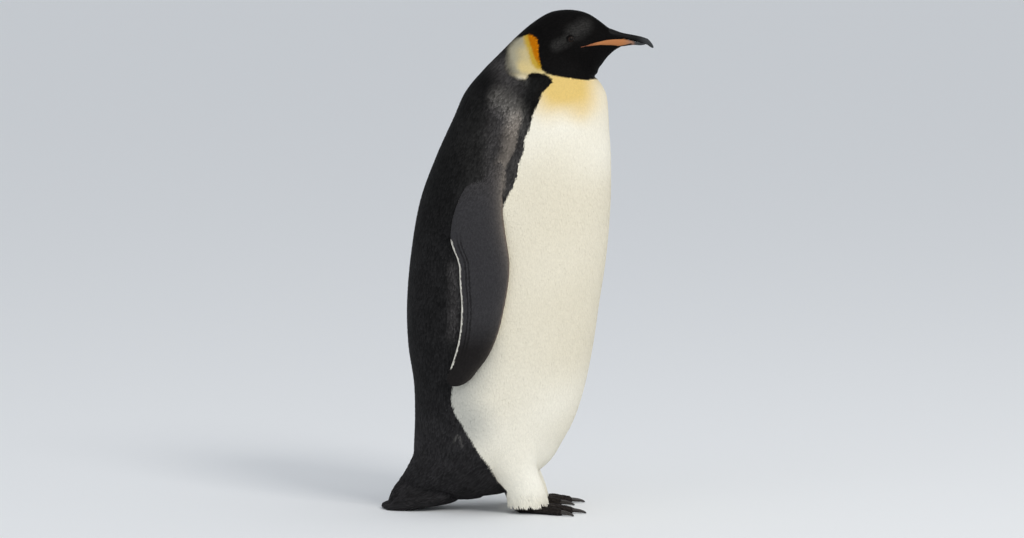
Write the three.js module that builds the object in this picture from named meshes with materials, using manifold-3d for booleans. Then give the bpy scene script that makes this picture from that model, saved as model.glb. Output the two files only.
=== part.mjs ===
// Adult emperor penguin, life size, standing on its feet and the tips of its tail.
// Millimetres. +Z is up, +X is the way the bird faces, and +Y is the bird's left.
// The origin is on the floor, under the middle of the bird's length.
//
// Every fleshy part is a loft over a ladder of cross-sections. A rung of the ladder runs
// from an upper rail to a lower rail, and the skin bulges to both sides of it by a half width.
// The trunk, neck and head are one loft from the root of the bill, over the crown and down
// to the vent, which plane cuts part where the neck ends and where the hood ends.

import * as THREE from "three";
import { LoftGeometry } from "three/addons/geometries/LoftGeometry.js";
import { mergeVertices } from "three/addons/utils/BufferGeometryUtils.js";
import Module from "manifold-3d";

const wasm = await Module();
wasm.setup();

// ---- Sizes and materials -------------------------------------------------------------

const CUT = 0.3; // the gap left between neighbouring parts
const SOCKET = 0.5; // the same round a part that sits in a socket
const FAR = 3000; // the side of a box that stands for a half space
const SIDES = { left: 1, right: -1 };

const coat = (color, roughness) => new THREE.MeshStandardMaterial({ color, roughness, metalness: 0 });
const MATERIALS = {
  hood: coat(0x0d0d0f, 0.6),
  mantle: coat(0x8f8c72, 0.6),
  trunk: coat(0xdedbcb, 0.65),
  tail: coat(0x17171a, 0.55),
  flipper: coat(0x2c2e33, 0.5),
  thigh: coat(0xe6e3d6, 0.7),
  foot: coat(0x201e1e, 0.7),
  claw: coat(0x121110, 0.4),
  billHorn: coat(0x1b1b1d, 0.35),
  billPlate: coat(0xcf8460, 0.4),
  eye: coat(0x1a0f08, 0.1),
};

// ---- The ladder loft -----------------------------------------------------------------

// One cross-section as a ring of points. `rung` gives the rail points `top` and `bottom`,
// the half width `half`, the place of the widest point along the rung as a share `widest`,
// and the roundness `power`: 2 is an ellipse, more is squarer and less is a roof.
function ring(rung, side, points, grow) {
  const along = rung.bottom.clone().sub(rung.top).normalize().multiplyScalar(grow);
  const top = rung.top.clone().sub(along);
  const bottom = rung.bottom.clone().add(along);
  const middle = top.clone().lerp(bottom, rung.widest);
  const half = rung.half + grow;
  return Array.from({ length: points }, (_, i) => {
    const angle = (2 * Math.PI * i) / points;
    const share = (value) => Math.sign(value) * Math.abs(value) ** (2 / rung.power);
    const up = share(Math.cos(angle));
    const out = share(Math.sin(angle));
    const rail = up >= 0 ? top : bottom;
    return middle
      .clone()
      .addScaledVector(rail.clone().sub(middle), Math.abs(up))
      .addScaledVector(side, out * half);
  });
}

// Rungs between the stations, which are [top, bottom, half, widest, power], with the rails
// and sizes on Catmull-Rom splines and `steps` rungs to each gap.
function rungs(stations, steps) {
  const smooth = (points) => new THREE.CatmullRomCurve3(points, false, "catmullrom", 0.5);
  const tops = smooth(stations.map(([top]) => new THREE.Vector3(...top)));
  const bottoms = smooth(stations.map(([, bottom]) => new THREE.Vector3(...bottom)));
  const sizes = smooth(
    stations.map(([, , half, widest = 0.5, power = 2]) => new THREE.Vector3(half, widest, power)),
  );
  const count = (stations.length - 1) * steps;
  return Array.from({ length: count + 1 }, (_, i) => {
    const { x: half, y: widest, z: power } = sizes.getPoint(i / count);
    return { top: tops.getPoint(i / count), bottom: bottoms.getPoint(i / count), half, widest, power };
  });
}

// Rings that round off an end: an elliptical cap from the end section to the point `pole`.
function cap(endRing, pole, rings, grow) {
  const centre = new THREE.Vector3();
  endRing.forEach((p) => centre.addScaledVector(p, 1 / endRing.length));
  const reach = new THREE.Vector3(...pole).sub(centre);
  reach.setLength(reach.length() + grow);
  return Array.from({ length: rings }, (_, i) => {
    const angle = ((i + 0.3) / rings) * (Math.PI / 2);
    const place = centre.clone().addScaledVector(reach, Math.cos(angle));
    return endRing.map((p) => p.clone().sub(centre).multiplyScalar(Math.sin(angle)).add(place));
  });
}

// Whether the rings run counterclockwise, seen from the far end of the loft.
function runsCounterclockwise(rings) {
  const [before, here] = rings;
  const turn = new THREE.Vector3();
  const onward = new THREE.Vector3();
  here.forEach((p, i) => {
    turn.add(p.clone().cross(here[(i + 1) % here.length]));
    onward.add(p).sub(before[i]);
  });
  return turn.dot(onward) > 0;
}

// A place or direction on the left side, moved to the side of that sign.
const across = ([x, y, z], sign) => [x, sign * y, z];

// A closed loft over the stations, rounded off at `start` and `end` where they are given.
function ladder(stations, options = {}) {
  const { start, end, steps = 2, points = 24, capRings = 4, side = [0, 1, 0], grow = 0 } = options;
  const out = new THREE.Vector3(...side).normalize();
  const rings = rungs(stations, steps).map((rung) => ring(rung, out, points, grow));
  const first = start ? cap(rings[0], start, capRings, grow) : [];
  const last = end ? cap(rings[rings.length - 1], end, capRings, grow).reverse() : [];
  const sections = [...first, ...rings, ...last];
  if (!runsCounterclockwise(rings)) sections.forEach((section) => section.reverse());
  return new LoftGeometry(sections, { capStart: true, capEnd: true });
}

// ---- Solids --------------------------------------------------------------------------

// A closed geometry as a manifold-3d solid.
function solid(geometry) {
  const shell = new THREE.BufferGeometry();
  shell.setAttribute("position", geometry.attributes.position);
  shell.setIndex(geometry.index);
  const merged = mergeVertices(shell, 1e-3);
  const corners = Array.from(merged.index.array);
  const triangles = [];
  for (let i = 0; i < corners.length; i += 3) {
    const [a, b, c] = corners.slice(i, i + 3);
    if (a !== b && b !== c && c !== a) triangles.push(a, b, c);
  }
  return new wasm.Manifold(
    new wasm.Mesh({
      numProp: 3,
      vertProperties: new Float32Array(merged.attributes.position.array),
      triVerts: new Uint32Array(triangles),
    }),
  );
}

// Everything on the far side of a plane through `point`, in the direction of `normal`.
function halfSpace(point, normal, gap = 0) {
  const box = new THREE.BoxGeometry(FAR, FAR, FAR).translate(0, 0, FAR / 2 + gap);
  const turn = new THREE.Quaternion().setFromUnitVectors(
    new THREE.Vector3(0, 0, 1),
    new THREE.Vector3(...normal).normalize(),
  );
  return solid(box.applyQuaternion(turn).translate(...point));
}

const ABOVE_FLOOR = halfSpace([0, 0, 0], [0, 0, 1]);

// A solid without the slivers that a cut can leave beside it.
const largest = (shape) => shape.decompose().sort((a, b) => b.volume() - a.volume())[0];

const group = new THREE.Group();

function addPart(name, shape, material) {
  const made = largest(shape).getMesh();
  const geometry = new THREE.BufferGeometry();
  geometry.setAttribute("position", new THREE.BufferAttribute(made.vertProperties, 3));
  geometry.setIndex(new THREE.BufferAttribute(made.triVerts, 1));
  geometry.computeVertexNormals();
  const mesh = new THREE.Mesh(geometry, material);
  mesh.name = name;
  group.add(mesh);
}

// ---- Trunk, neck and head ------------------------------------------------------------

// Each rung is [back x, z], [front x, z], half width, widest point, roundness.
const BODY_RUNGS = [
  { at: "bill feathering", back: [202, 954], front: [211, 928], half: 9.5 },
  { at: "bill root", back: [182, 965], front: [197, 920], half: 14.5 },
  { at: "lores", back: [163, 979.5], front: [184, 909], half: 19.5 },
  { at: "gape", back: [142, 992.5], front: [176, 899.5], half: 26 },
  { at: "forehead", back: [119, 999], front: [170, 891], half: 33 },
  { at: "crown", back: [92, 1000], front: [164, 883], half: 40 },
  { at: "eye", back: [64, 994], front: [161, 874], half: 44.5 },
  { at: "nape", back: [33, 975], front: [156, 867], half: 48 },
  { at: "hood edge", back: [1, 948], front: [163, 859], half: 53 },
  { at: "neck", back: [-33, 914], front: [173, 845], half: 63 },
  { at: "collar", back: [-67, 879], front: [180, 828], half: 78 },
  { at: "shoulder", back: [-102, 836], front: [183, 802], half: 94 },
  { at: "breast", back: [-127, 781], front: [185, 766], half: 109 },
  { at: "upper trunk", back: [-160, 708], front: [189, 700], half: 126 },
  { at: "middle", back: [-192, 620], front: [188, 610], half: 140 },
  { at: "belly", back: [-210, 520], front: [180, 510], half: 150 },
  { at: "lower belly", back: [-219, 420], front: [166, 414], half: 154 },
  { at: "loin", back: [-217, 333], front: [154, 330], half: 151 },
  { at: "hip", back: [-206, 256], front: [138, 250], half: 144 },
  { at: "thigh", back: [-204, 190], front: [118, 185], half: 134 },
  { at: "rump", back: [-206, 135], front: [94, 138], half: 120 },
  { at: "groin", back: [-208, 104], front: [69, 98], half: 104 },
  { at: "vent", back: [-218, 82], front: [30, 66], half: 88 },
  { at: "under the tail", back: [-229, 62], front: [-14, 36], half: 66 },
  { at: "last feathers", back: [-236, 46], front: [-66, 26], half: 42 },
];
const BODY_FRONT = [214, 0, 940]; // where the feathering ends over the bill
const BODY_UNDERSIDE = [-154, 0, 22]; // the lowest point of the rump, over the root of the tail

const bodyStations = BODY_RUNGS.map(({ back, front, half, widest = 0.5, power = 2.1 }) => [
  [back[0], 0, back[1]],
  [front[0], 0, front[1]],
  half,
  widest,
  power,
]);
const bodyLoft = (grow) =>
  solid(ladder(bodyStations, { start: BODY_FRONT, end: BODY_UNDERSIDE, points: 26, capRings: 2, grow }));
const body = bodyLoft(0);
const bodyRoom = bodyLoft(CUT);

// Where the hood meets the neck and the neck meets the trunk: [back x, z], [front x, z].
const HOOD_EDGE = [[8, 967], [154, 868]];
const COLLAR = [[-102, 836], [183, 802]];

const above = ([back, front]) =>
  halfSpace([back[0], 0, back[1]], [back[1] - front[1], 0, front[0] - back[0]], CUT / 2);
const below = ([back, front]) =>
  halfSpace([back[0], 0, back[1]], [front[1] - back[1], 0, back[0] - front[0]], CUT / 2);

// ---- Bill ----------------------------------------------------------------------------

// Stations along the bill from deep in the head to the tip: [upper rail], [lower rail], half width.
const MOUTH = [
  [128, 929.5],
  [150, 937.5],
  [170, 942],
  [190, 944],
  [210, 943],
  [230, 938.5],
  [247, 934],
  [261, 930],
];
const CULMEN = [969, 969, 968, 961.5, 954.5, 950.5, 947, 942.5];
const JAW_LINE = [923.5, 924.5, 925.5, 926.5, 927, 929.6, 929.2, 929];
const UPPER_HALF = [18, 17, 15, 12, 9, 7, 5.8, 4.2];
const LOWER_HALF = [29, 27.5, 21.5, 16, 11, 7.5, 4.8, 2.6];

const upperBill = ladder(
  MOUTH.map(([x, z], i) => [[x, 0, CULMEN[i]], [x, 0, z + CUT], UPPER_HALF[i], 0.6]),
  { start: [122, 0, 948], end: [273, 0, 925.5], points: 12, steps: 1, capRings: 3 },
);
const lowerBill = (grow) =>
  ladder(
    MOUTH.slice(0, -1).map(([x, z], i) => [[x, 0, z - CUT], [x, 0, JAW_LINE[i]], LOWER_HALF[i], 0.4]),
    { start: [122, 0, 928], end: [256, 0, 931.5], points: 12, steps: 1, capRings: 2, grow },
  );

// ---- Eyes ----------------------------------------------------------------------------

const EYE = { radius: 11.5, x: 106, y: 33, z: 942 };
const eyeball = (sign, grow) =>
  solid(new THREE.SphereGeometry(EYE.radius + grow, 12, 8).translate(EYE.x, sign * EYE.y, EYE.z));

// ---- Flippers ------------------------------------------------------------------------

// Stations from the shoulder to the tip, for the left side:
// [leading x, y, z], [trailing x, y, z], half thickness.
const FLIPPER_RUNGS = [
  [[-4, 80, 776], [-74, 60, 770], 14],
  [[-6, 106, 724], [-86, 87, 714], 15],
  [[-22, 132, 664], [-103, 110, 654], 14],
  [[-27, 146, 612], [-123, 124, 604], 12.5],
  [[-21, 155, 560], [-130, 132, 551], 11],
  [[-14, 160, 510], [-115, 137, 506], 10],
  [[-16, 163, 468], [-112, 141, 464], 9],
  [[-24, 164, 420], [-109, 144, 414], 8],
  [[-36, 163, 370], [-113, 147, 362], 7],
  [[-55, 160, 325], [-123, 147, 321], 6],
  [[-81, 155, 289], [-134, 146, 289], 4.5],
];
const FLIPPER_TIP = [-122, 147, 262];
const FLIPPER_FACING = [-0.22, 1, 0.04]; // the way the outer face looks, on the left side

function flipper(sign) {
  const stations = FLIPPER_RUNGS.map(([lead, trail, half]) => [
    across(lead, sign),
    across(trail, sign),
    half,
    0.36,
    1.9,
  ]);
  const [end, side] = [across(FLIPPER_TIP, sign), across(FLIPPER_FACING, sign)];
  return solid(ladder(stations, { end, side, points: 14, steps: 1 })).subtract(bodyRoom);
}

// ---- Legs ----------------------------------------------------------------------------

// Stations from the thigh to the hem of feathers over the foot:
// [front x, z], [rear x, z], distance of the middle from the centre plane, half width.
const LEG_RUNGS = [
  [[52, 226], [-86, 226], 73, 50],
  [[56, 186], [-84, 184], 73, 55],
  [[48, 140], [-76, 130], 71, 53],
  [[41, 100], [-60, 92], 69, 49],
  [[46, 76], [-42, 68], 67, 45],
  [[56, 50], [-28, 46], 65, 42],
  [[61, 31], [-20, 31], 64, 40],
];
const LEG_TOP = [-16, 73, 250]; // inside the trunk, on the left side
const LEG_HEM = [24, 64, 24]; // the middle of the hem, on the left side

const legLoft = (sign, grow) =>
  solid(
    ladder(
      LEG_RUNGS.map(([front, rear, y, half]) => [
        [front[0], sign * y, front[1]],
        [rear[0], sign * y, rear[1]],
        half,
        0.5,
        2.1,
      ]),
      { start: across(LEG_TOP, sign), end: across(LEG_HEM, sign), capRings: 2, points: 16, grow },
    ),
  );

// ---- Feet ----------------------------------------------------------------------------

const FOOT = { heel: [10, 64], webThickness: 6, webBase: 1 };
const TOES = [
  { name: "inner", yaw: -16, length: 80, half: 11.5, height: 19, pads: 2 },
  { name: "middle", yaw: 7, length: 98, half: 12.5, height: 20, pads: 3 },
  { name: "outer", yaw: 30, length: 88, half: 12, height: 19, pads: 3 },
];
const CLAW = { length: 30, half: 5, height: 10, sunk: 2 };

// A toe or claw is built along +X, then turned by its yaw and moved to its root.
const placed = (shape, yaw, root) =>
  shape.rotateZ(THREE.MathUtils.degToRad(yaw)).translate(root[0], root[1], root[2] ?? 0);

function toe({ length, half, height, pads }) {
  const count = 2 * pads + 1;
  const stations = Array.from({ length: count }, (_, i) => {
    const share = i / (count - 1);
    const swell = (i % 2 ? 1.06 : 0.94) * (1 - 0.26 * share);
    return [[share * length, 0, height * swell], [share * length, 0, -1], half * swell, 0.6, 2.3];
  });
  return ladder(stations, { start: [-9, 0, 7], end: [length + 7, 0, 5], points: 8, steps: 1, capRings: 1 });
}

function claw(length, half, height) {
  const stations = [0, 0.35, 0.7].map((share) => [
    [share * length, 0, height * (1 - 0.55 * share ** 1.5)],
    [share * length, 0, height * 0.12 * (1 - share)],
    half * (1 - 0.55 * share),
    0.4,
  ]);
  const [start, end] = [[-2, 0, height * 0.5], [length, 0, 0.7]];
  return ladder(stations, { start, end, points: 6, steps: 1, capRings: 2 });
}

// The web between the toes: a thin plate whose edge sags between the toe tips.
function web(sign) {
  const [x, y] = FOOT.heel;
  const tip = ({ yaw, length }) => {
    const turn = THREE.MathUtils.degToRad(sign * yaw);
    return [x + 0.96 * length * Math.cos(turn), sign * y + 0.96 * length * Math.sin(turn)];
  };
  const [inner, middle, outer] = TOES.map(tip);
  const heel = [x, sign * y];
  const sag = (p, q) => [0, 1].map((k) => 0.5 * (p[k] + q[k]) + 0.2 * (heel[k] - 0.5 * (p[k] + q[k])));
  const outline = new THREE.Shape();
  outline.moveTo(...heel);
  outline.lineTo(...inner);
  outline.quadraticCurveTo(...sag(inner, middle), ...middle);
  outline.quadraticCurveTo(...sag(middle, outer), ...outer);
  outline.closePath();
  const plate = new THREE.ExtrudeGeometry(outline, {
    depth: FOOT.webThickness,
    bevelEnabled: false,
    curveSegments: 5,
  });
  return plate.translate(0, 0, FOOT.webBase);
}

const HIND_TOE = { root: [2, 46, 9], yaw: -62, length: 13, half: 5.5, height: 11, pads: 1 };

function foot(sign) {
  const [x, y] = FOOT.heel;
  const ankle = ladder(
    [
      [[40, sign * y, 40], [2, sign * y, 40], 16],
      [[40, sign * y, 24], [-4, sign * y, 24], 17],
      [[44, sign * y, 8], [-8, sign * y, 8], 17],
    ],
    { end: [14, sign * y, -6], points: 12, steps: 1, capRings: 2 },
  );
  const root = HIND_TOE.root;
  const hind = placed(toe(HIND_TOE), sign * HIND_TOE.yaw, [root[0], sign * root[1], root[2]]);
  const toes = TOES.map((one) => placed(toe(one), sign * one.yaw, [x, sign * y]));
  return [web(sign), hind, ...toes].map(solid).reduce((sum, part) => sum.add(part), solid(ankle));
}

// The claws of one foot, each with a socket shape a little larger than itself.
function claws(sign) {
  const [x, y] = FOOT.heel;
  const front = TOES.map((one) => ({
    name: one.name,
    shape: claw(CLAW.length, CLAW.half, CLAW.height),
    yaw: one.yaw,
    root: [x, sign * y, 1],
    reach: one.length + CLAW.sunk,
  }));
  const hind = {
    name: "hind",
    shape: claw(0.5 * CLAW.length, 0.6 * CLAW.half, 0.6 * CLAW.height),
    yaw: HIND_TOE.yaw,
    root: [HIND_TOE.root[0], sign * HIND_TOE.root[1], HIND_TOE.root[2] + 2],
    reach: HIND_TOE.length + 1,
  };
  return [...front, hind].map(({ name, shape, yaw, root, reach }) => ({
    name,
    shape: solid(placed(shape.translate(reach, 0, 0), sign * yaw, root)),
  }));
}

// ---- Tail ----------------------------------------------------------------------------

// Stations from inside the rump to the feather tips: [upper x, z], [lower x, z], half width.
const TAIL_RUNGS = [
  [[-176, 128], [-116, 62], 34],
  [[-204, 112], [-112, 34], 44],
  [[-216, 86], [-118, 14], 50],
  [[-232, 60], [-150, 4], 54],
  [[-250, 34], [-190, -2], 55],
  [[-258, 12], [-232, -4], 47],
];
const TAIL_TIP = [-269, 0, -3];

const tail = ladder(
  TAIL_RUNGS.map(([upper, lower, half]) => [
    [upper[0], 0, upper[1]],
    [lower[0], 0, lower[1]],
    half,
    0.78,
    1.7,
  ]),
  { end: TAIL_TIP, points: 18, capRings: 3 },
);

// ---- Assembly ------------------------------------------------------------------------

const eyes = Object.values(SIDES).map((sign) => eyeball(sign, SOCKET));
const head = body
  .intersect(above(HOOD_EDGE))
  .subtract(solid(lowerBill(SOCKET)))
  .subtract(eyes[0])
  .subtract(eyes[1]);
addPart("head", head, MATERIALS.hood);
addPart("bill_lower", solid(lowerBill(0)), MATERIALS.billPlate);
const horn = solid(upperBill).subtract(bodyRoom).subtract(solid(lowerBill(CUT)));
addPart("bill_upper", horn, MATERIALS.billHorn);

addPart("neck", body.intersect(below(HOOD_EDGE)).intersect(above(COLLAR)), MATERIALS.mantle);
addPart("trunk", body.intersect(below(COLLAR)), MATERIALS.trunk);
addPart("tail", solid(tail).intersect(ABOVE_FLOOR).subtract(bodyRoom), MATERIALS.tail);

for (const [side, sign] of Object.entries(SIDES)) {
  addPart(`eye_${side}`, eyeball(sign, 0), MATERIALS.eye);
  addPart(`flipper_${side}`, flipper(sign), MATERIALS.flipper);
  addPart(`leg_${side}`, legLoft(sign, 0).subtract(bodyRoom), MATERIALS.thigh);
  const bare = foot(sign).intersect(ABOVE_FLOOR).subtract(legLoft(sign, CUT)).subtract(bodyRoom);
  const nails = claws(sign).map(({ name, shape }) => ({ name, shape: shape.subtract(bare) }));
  addPart(`foot_${side}`, bare, MATERIALS.foot);
  nails.forEach(({ name, shape }) => addPart(`claw_${side}_${name}`, shape, MATERIALS.claw));
}

export default group;
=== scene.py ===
import bpy
import numpy as np
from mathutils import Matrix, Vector


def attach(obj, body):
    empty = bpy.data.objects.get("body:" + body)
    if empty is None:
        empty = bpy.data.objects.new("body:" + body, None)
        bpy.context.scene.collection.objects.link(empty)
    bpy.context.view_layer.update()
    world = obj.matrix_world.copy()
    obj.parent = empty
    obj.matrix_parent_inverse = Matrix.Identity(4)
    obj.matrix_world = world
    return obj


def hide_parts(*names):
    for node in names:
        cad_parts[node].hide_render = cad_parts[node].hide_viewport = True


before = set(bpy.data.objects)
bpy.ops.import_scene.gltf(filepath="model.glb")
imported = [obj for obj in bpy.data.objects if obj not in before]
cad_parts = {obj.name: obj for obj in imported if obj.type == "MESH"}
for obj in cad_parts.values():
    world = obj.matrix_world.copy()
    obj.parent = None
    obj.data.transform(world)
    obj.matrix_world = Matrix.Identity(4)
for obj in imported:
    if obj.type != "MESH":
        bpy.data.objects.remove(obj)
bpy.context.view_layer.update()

# ======================================
# The flesh of the trunk, neck and head. A fat, upright bird: one smooth body from the
# root of the bill over the crown to the vent. It lies inside the outline by the depth
# of the feathers that lie on it, from 0.6 mm on the face to 2.2 mm at the vent.

MM = 0.001  # metres in a millimetre
STEP = 1e-3  # of a rung or a radian, to find how fast a surface runs


def through(knots, at):
    """A smooth line through the knots at knot number `at`. Between knots k1 and k2 it is half of
    2 k1 + (k2 - k0) t + (2 k0 - 5 k1 + 4 k2 - k3) t^2 + (3 k1 - k0 - 3 k2 + k3) t^3, where t goes
    from 0 to 1 and the end knots are mirrored to give the ones past the ends."""
    knots = np.asarray(knots, float)
    knots = np.vstack([2 * knots[:1] - knots[1:2], knots, 2 * knots[-1:] - knots[-2:-1]])
    first = np.clip(np.floor(at).astype(int), 0, len(knots) - 4)
    t = (at - first)[..., None]
    k0, k1, k2, k3 = (knots[first + i] for i in range(4))
    cubic = 3 * k1 - k0 - 3 * k2 + k3
    return 0.5 * (2 * k1 + (k2 - k0) * t + (2 * k0 - 5 * k1 + 4 * k2 - k3) * t**2 + cubic * t**3)


class Limb:
    """A rounded shape over a ladder of rungs. A rung runs from an upper rail to a lower one, and
    the surface bulges to both sides by its half width. A rung's shape is the share of the way
    down at which it is widest, and its roundness: 2 is an ellipse and more is squarer. Rung
    number `u` may lie between rungs, and angle `v` is 0 on the upper rail, 90 degrees on the
    side and 180 on the lower rail. The surface lies `depth` millimetres inside the rungs."""

    def __init__(self, rungs, start, end, side=(0, 1, 0), depth=0.0):
        top, bottom, half, widest, power = (np.array(part, float) for part in zip(*rungs))
        start, end = np.array(start, float), np.array(end, float)
        depth = np.broadcast_to(np.asarray(depth, float), half.shape)[:, None]
        along = bottom - top
        along /= np.linalg.norm(along, axis=1, keepdims=True)
        sizes = np.stack([half - depth[:, 0], widest, power], 1)
        self.knots = np.hstack([top + along * depth, bottom - along * depth, sizes])
        self.last = len(half) - 1
        self.side = np.array(side, float) / np.linalg.norm(side)
        middle = 0.5 * (top + bottom)
        self.start = start + (middle[0] - start) * depth[0] / np.linalg.norm(middle[0] - start)
        self.end = end + (middle[-1] - end) * depth[-1] / np.linalg.norm(middle[-1] - end)
        self.turn = 1.0
        probe = self.outward(np.array([0.5 * self.last]), np.array([0.5 * np.pi]))
        self.turn = 1.0 if probe[0] @ self.side > 0 else -1.0

    def at(self, u, v):
        """Points, in metres. From the rung's widest place a point lies towards the nearer rail
        by |cos v| and sideways by sin v half widths, both to the power 2 / roundness. Past the
        first and last rungs the ring shrinks to a pole, as an ellipse does."""
        u, v = np.broadcast_arrays(np.asarray(u, float), np.asarray(v, float))
        inner = np.clip(u, 0, self.last)
        knot = through(self.knots, inner)
        top, bottom = knot[..., 0:3], knot[..., 3:6]
        half, widest, power = knot[..., 6:7], knot[..., 7:8], knot[..., 8:9]
        up, out = np.cos(v)[..., None], np.sin(v)[..., None]
        middle = top + (bottom - top) * widest
        rail = np.where(up >= 0, top, bottom)
        point = middle + (rail - middle) * np.abs(up) ** (2 / power)
        point = point + self.side * half * np.sign(out) * np.abs(out) ** (2 / power)
        centre = 0.5 * (top + bottom)
        past = 0.5 * np.pi * np.clip(np.abs(u - inner), 0, 1)[..., None]
        pole = np.where(u[..., None] < 0, self.start, self.end)
        return MM * (centre + (point - centre) * np.cos(past) + (pole - centre) * np.sin(past))

    def outward(self, u, v):
        """The unit vector out of the limb, square to small steps of u and v."""
        along = self.at(u + STEP, v) - self.at(u - STEP, v)
        sideways = self.at(u, v + STEP) - self.at(u, v - STEP)
        out = np.cross(along, sideways) * self.turn
        return out / (np.linalg.norm(out, axis=-1, keepdims=True) + 1e-12)

    def rates(self, u, v):
        """The millimetres to a rung, and to a radian round it, from a small step of each."""
        here = self.at(u, v)
        moves = self.at(u + STEP, v) - here, self.at(u, v + STEP) - here
        return [np.linalg.norm(move, axis=-1) / STEP / MM for move in moves]

    def stations(self, pitch):
        """Rung numbers from pole to pole whose rings lie `pitch` millimetres apart. The pitch may
        be a function of the rung number."""
        fine = np.linspace(-1, self.last + 1, 40 * (self.last + 2) + 1)
        ring = self.at(fine[:, None], np.linspace(0, 2 * np.pi, 24, endpoint=False)[None])
        steps = np.linalg.norm(np.diff(ring, axis=0), axis=2).mean(1) / MM
        steps /= pitch(0.5 * (fine[1:] + fine[:-1])) if callable(pitch) else pitch
        count = np.concatenate([[0], np.cumsum(steps)])
        return np.interp(np.linspace(0, count[-1], int(round(count[-1])) + 1), count, fine)


def cells(a, b, c, d):
    """Two triangles for each cell of a grid, from the numbers of its corners in turn."""
    return np.vstack([np.stack(tri, -1).reshape(-1, 3) for tri in ((a, b, c), (a, c, d))])


def facing_out(points, faces):
    """The triangles, turned over where the volume that they enclose comes out negative."""
    corner = points[faces]
    volume = np.einsum("ij,ij->i", corner[:, 0], np.cross(corner[:, 1], corner[:, 2])).sum()
    return faces if volume > 0 else faces[:, ::-1]


def tube_mesh(rings, start, end):
    """Vertices and triangles of closed rings, with a fan to a pole at each end."""
    rows, columns = rings.shape[:2]
    index = np.arange(rows * columns).reshape(rows, columns)
    after = np.roll(index, -1, 1)
    south, north = np.full(columns, rows * columns), np.full(columns, rows * columns + 1)
    faces = [
        cells(index[:-1], index[1:], after[1:], after[:-1]),
        np.stack([index[0], after[0], south], 1),
        np.stack([after[-1], index[-1], north], 1),
    ]
    points = np.vstack([rings.reshape(-1, 3), [start, end]])
    return points, facing_out(points, np.vstack(faces))


def limb_mesh(limb, pitch, columns):
    """Vertices and triangles of a closed limb, in rings `pitch` millimetres apart."""
    u = limb.stations(pitch)[1:-1]
    v = np.linspace(0, 2 * np.pi, columns, endpoint=False)
    poles = limb.at(np.array([-1.0, limb.last + 1.0]), np.zeros(2))
    return tube_mesh(limb.at(u[:, None], v[None]), *poles)


def new_object(name, points, triangles):
    """A mesh object at the origin, from arrays of points and triangles, shaded smooth."""
    mesh = bpy.data.meshes.new(name)
    mesh.vertices.add(len(points))
    mesh.vertices.foreach_set("co", np.asarray(points, np.float32).ravel())
    mesh.loops.add(3 * len(triangles))
    mesh.loops.foreach_set("vertex_index", np.asarray(triangles, np.int32).ravel())
    mesh.polygons.add(len(triangles))
    mesh.polygons.foreach_set("loop_start", np.arange(0, 3 * len(triangles), 3, dtype=np.int32))
    mesh.polygons.foreach_set("use_smooth", np.ones(len(triangles), bool))
    mesh.update(calc_edges=True)
    made = bpy.data.objects.new(name, mesh)
    bpy.context.scene.collection.objects.link(made)
    return made


# Rungs from the bill to the vent: back x, z, front x, z, and half width.
BODY_RUNGS = [
    (202, 954, 211, 928, 9.5),
    (182, 965, 197, 920, 14.5),
    (163, 979.5, 184, 909, 19.5),
    (142, 992.5, 176, 899.5, 26),
    (119, 999, 170, 891, 33),
    (92, 1000, 164, 883, 40),
    (64, 994, 161, 874, 44.5),
    (33, 975, 156, 867, 48),
    (1, 948, 163, 859, 53),
    (-33, 914, 173, 845, 63),
    (-67, 879, 180, 828, 78),
    (-102, 836, 183, 802, 94),
    (-127, 781, 185, 766, 109),
    (-160, 708, 189, 700, 126),
    (-192, 620, 188, 610, 140),
    (-210, 520, 180, 510, 150),
    (-219, 420, 166, 414, 154),
    (-217, 333, 154, 330, 151),
    (-206, 256, 138, 250, 144),
    (-204, 190, 118, 185, 134),
    (-206, 135, 94, 138, 120),
    (-208, 104, 69, 98, 104),
    (-218, 82, 30, 66, 88),
    (-229, 62, -14, 36, 66),
    (-236, 46, -66, 26, 42),
]
BODY_ENDS = [(214, 0, 940), (-154, 0, 22)]
OVAL = (0.5, 2.1)  # the shape of the rungs
FACE, NAPE, COLLAR, BELLY, VENT = 0, 7, 10, 15, 22  # rungs at which the coat's depth is given
DEPTHS = [0.6, 0.9, 1.2, 1.4, 2.2]
# Where the upper arms and the thighs swell the sides: x, z, how far that reaches to the rear, to
# the front, up and down, and how far out.
SWELLS = [(-50, 640, 34, 24, 34, 30, 12), (5, 112, 45, 24, 38, 30, 13)]
SIDE_START = 20  # millimetres from the middle over which the swellings set in


def upright(rows, shape):
    """Rungs in the bird's middle plane, from rows of x, z, x, z and half width."""
    return [((ux, 0, uz), (lx, 0, lz), half, *shape) for ux, uz, lx, lz, half in rows]


class Trunk(Limb):
    """The body, whose sides the arms and thighs push out by bells of exp(-r^2 / 2)."""

    def at(self, u, v):
        points = super().at(u, v)
        x, aside, z = np.moveaxis(points / MM, -1, 0)
        for at_x, at_z, rear, front, up, down, out in SWELLS:
            wide = np.where(x < at_x, rear, front)
            high = np.where(z > at_z, up, down)
            near = ((x - at_x) / wide) ** 2 + ((z - at_z) / high) ** 2
            points[..., 1] += MM * out * np.exp(-0.5 * near) * np.tanh(aside / SIDE_START)
        return points


depth = np.interp(np.arange(len(BODY_RUNGS)), [FACE, NAPE, COLLAR, BELLY, VENT], DEPTHS)
body = Trunk(upright(BODY_RUNGS, OVAL), *BODY_ENDS, depth=depth)


def body_pitch(u):
    """Millimetres between rings: finer on the face, for the lids and the corners of the mouth."""
    return np.interp(u, [FACE, NAPE, COLLAR], [2.5, 4.0, 6.5])


# ======================================
# The flippers: stiff, flat paddles of bone and sinew under a close coat of scale-like
# feathers. Each hangs from the shoulder, bends a little at the elbow and tapers to a
# thin blunt tip. The leading edge is thick and the trailing edge sharp.

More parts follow.
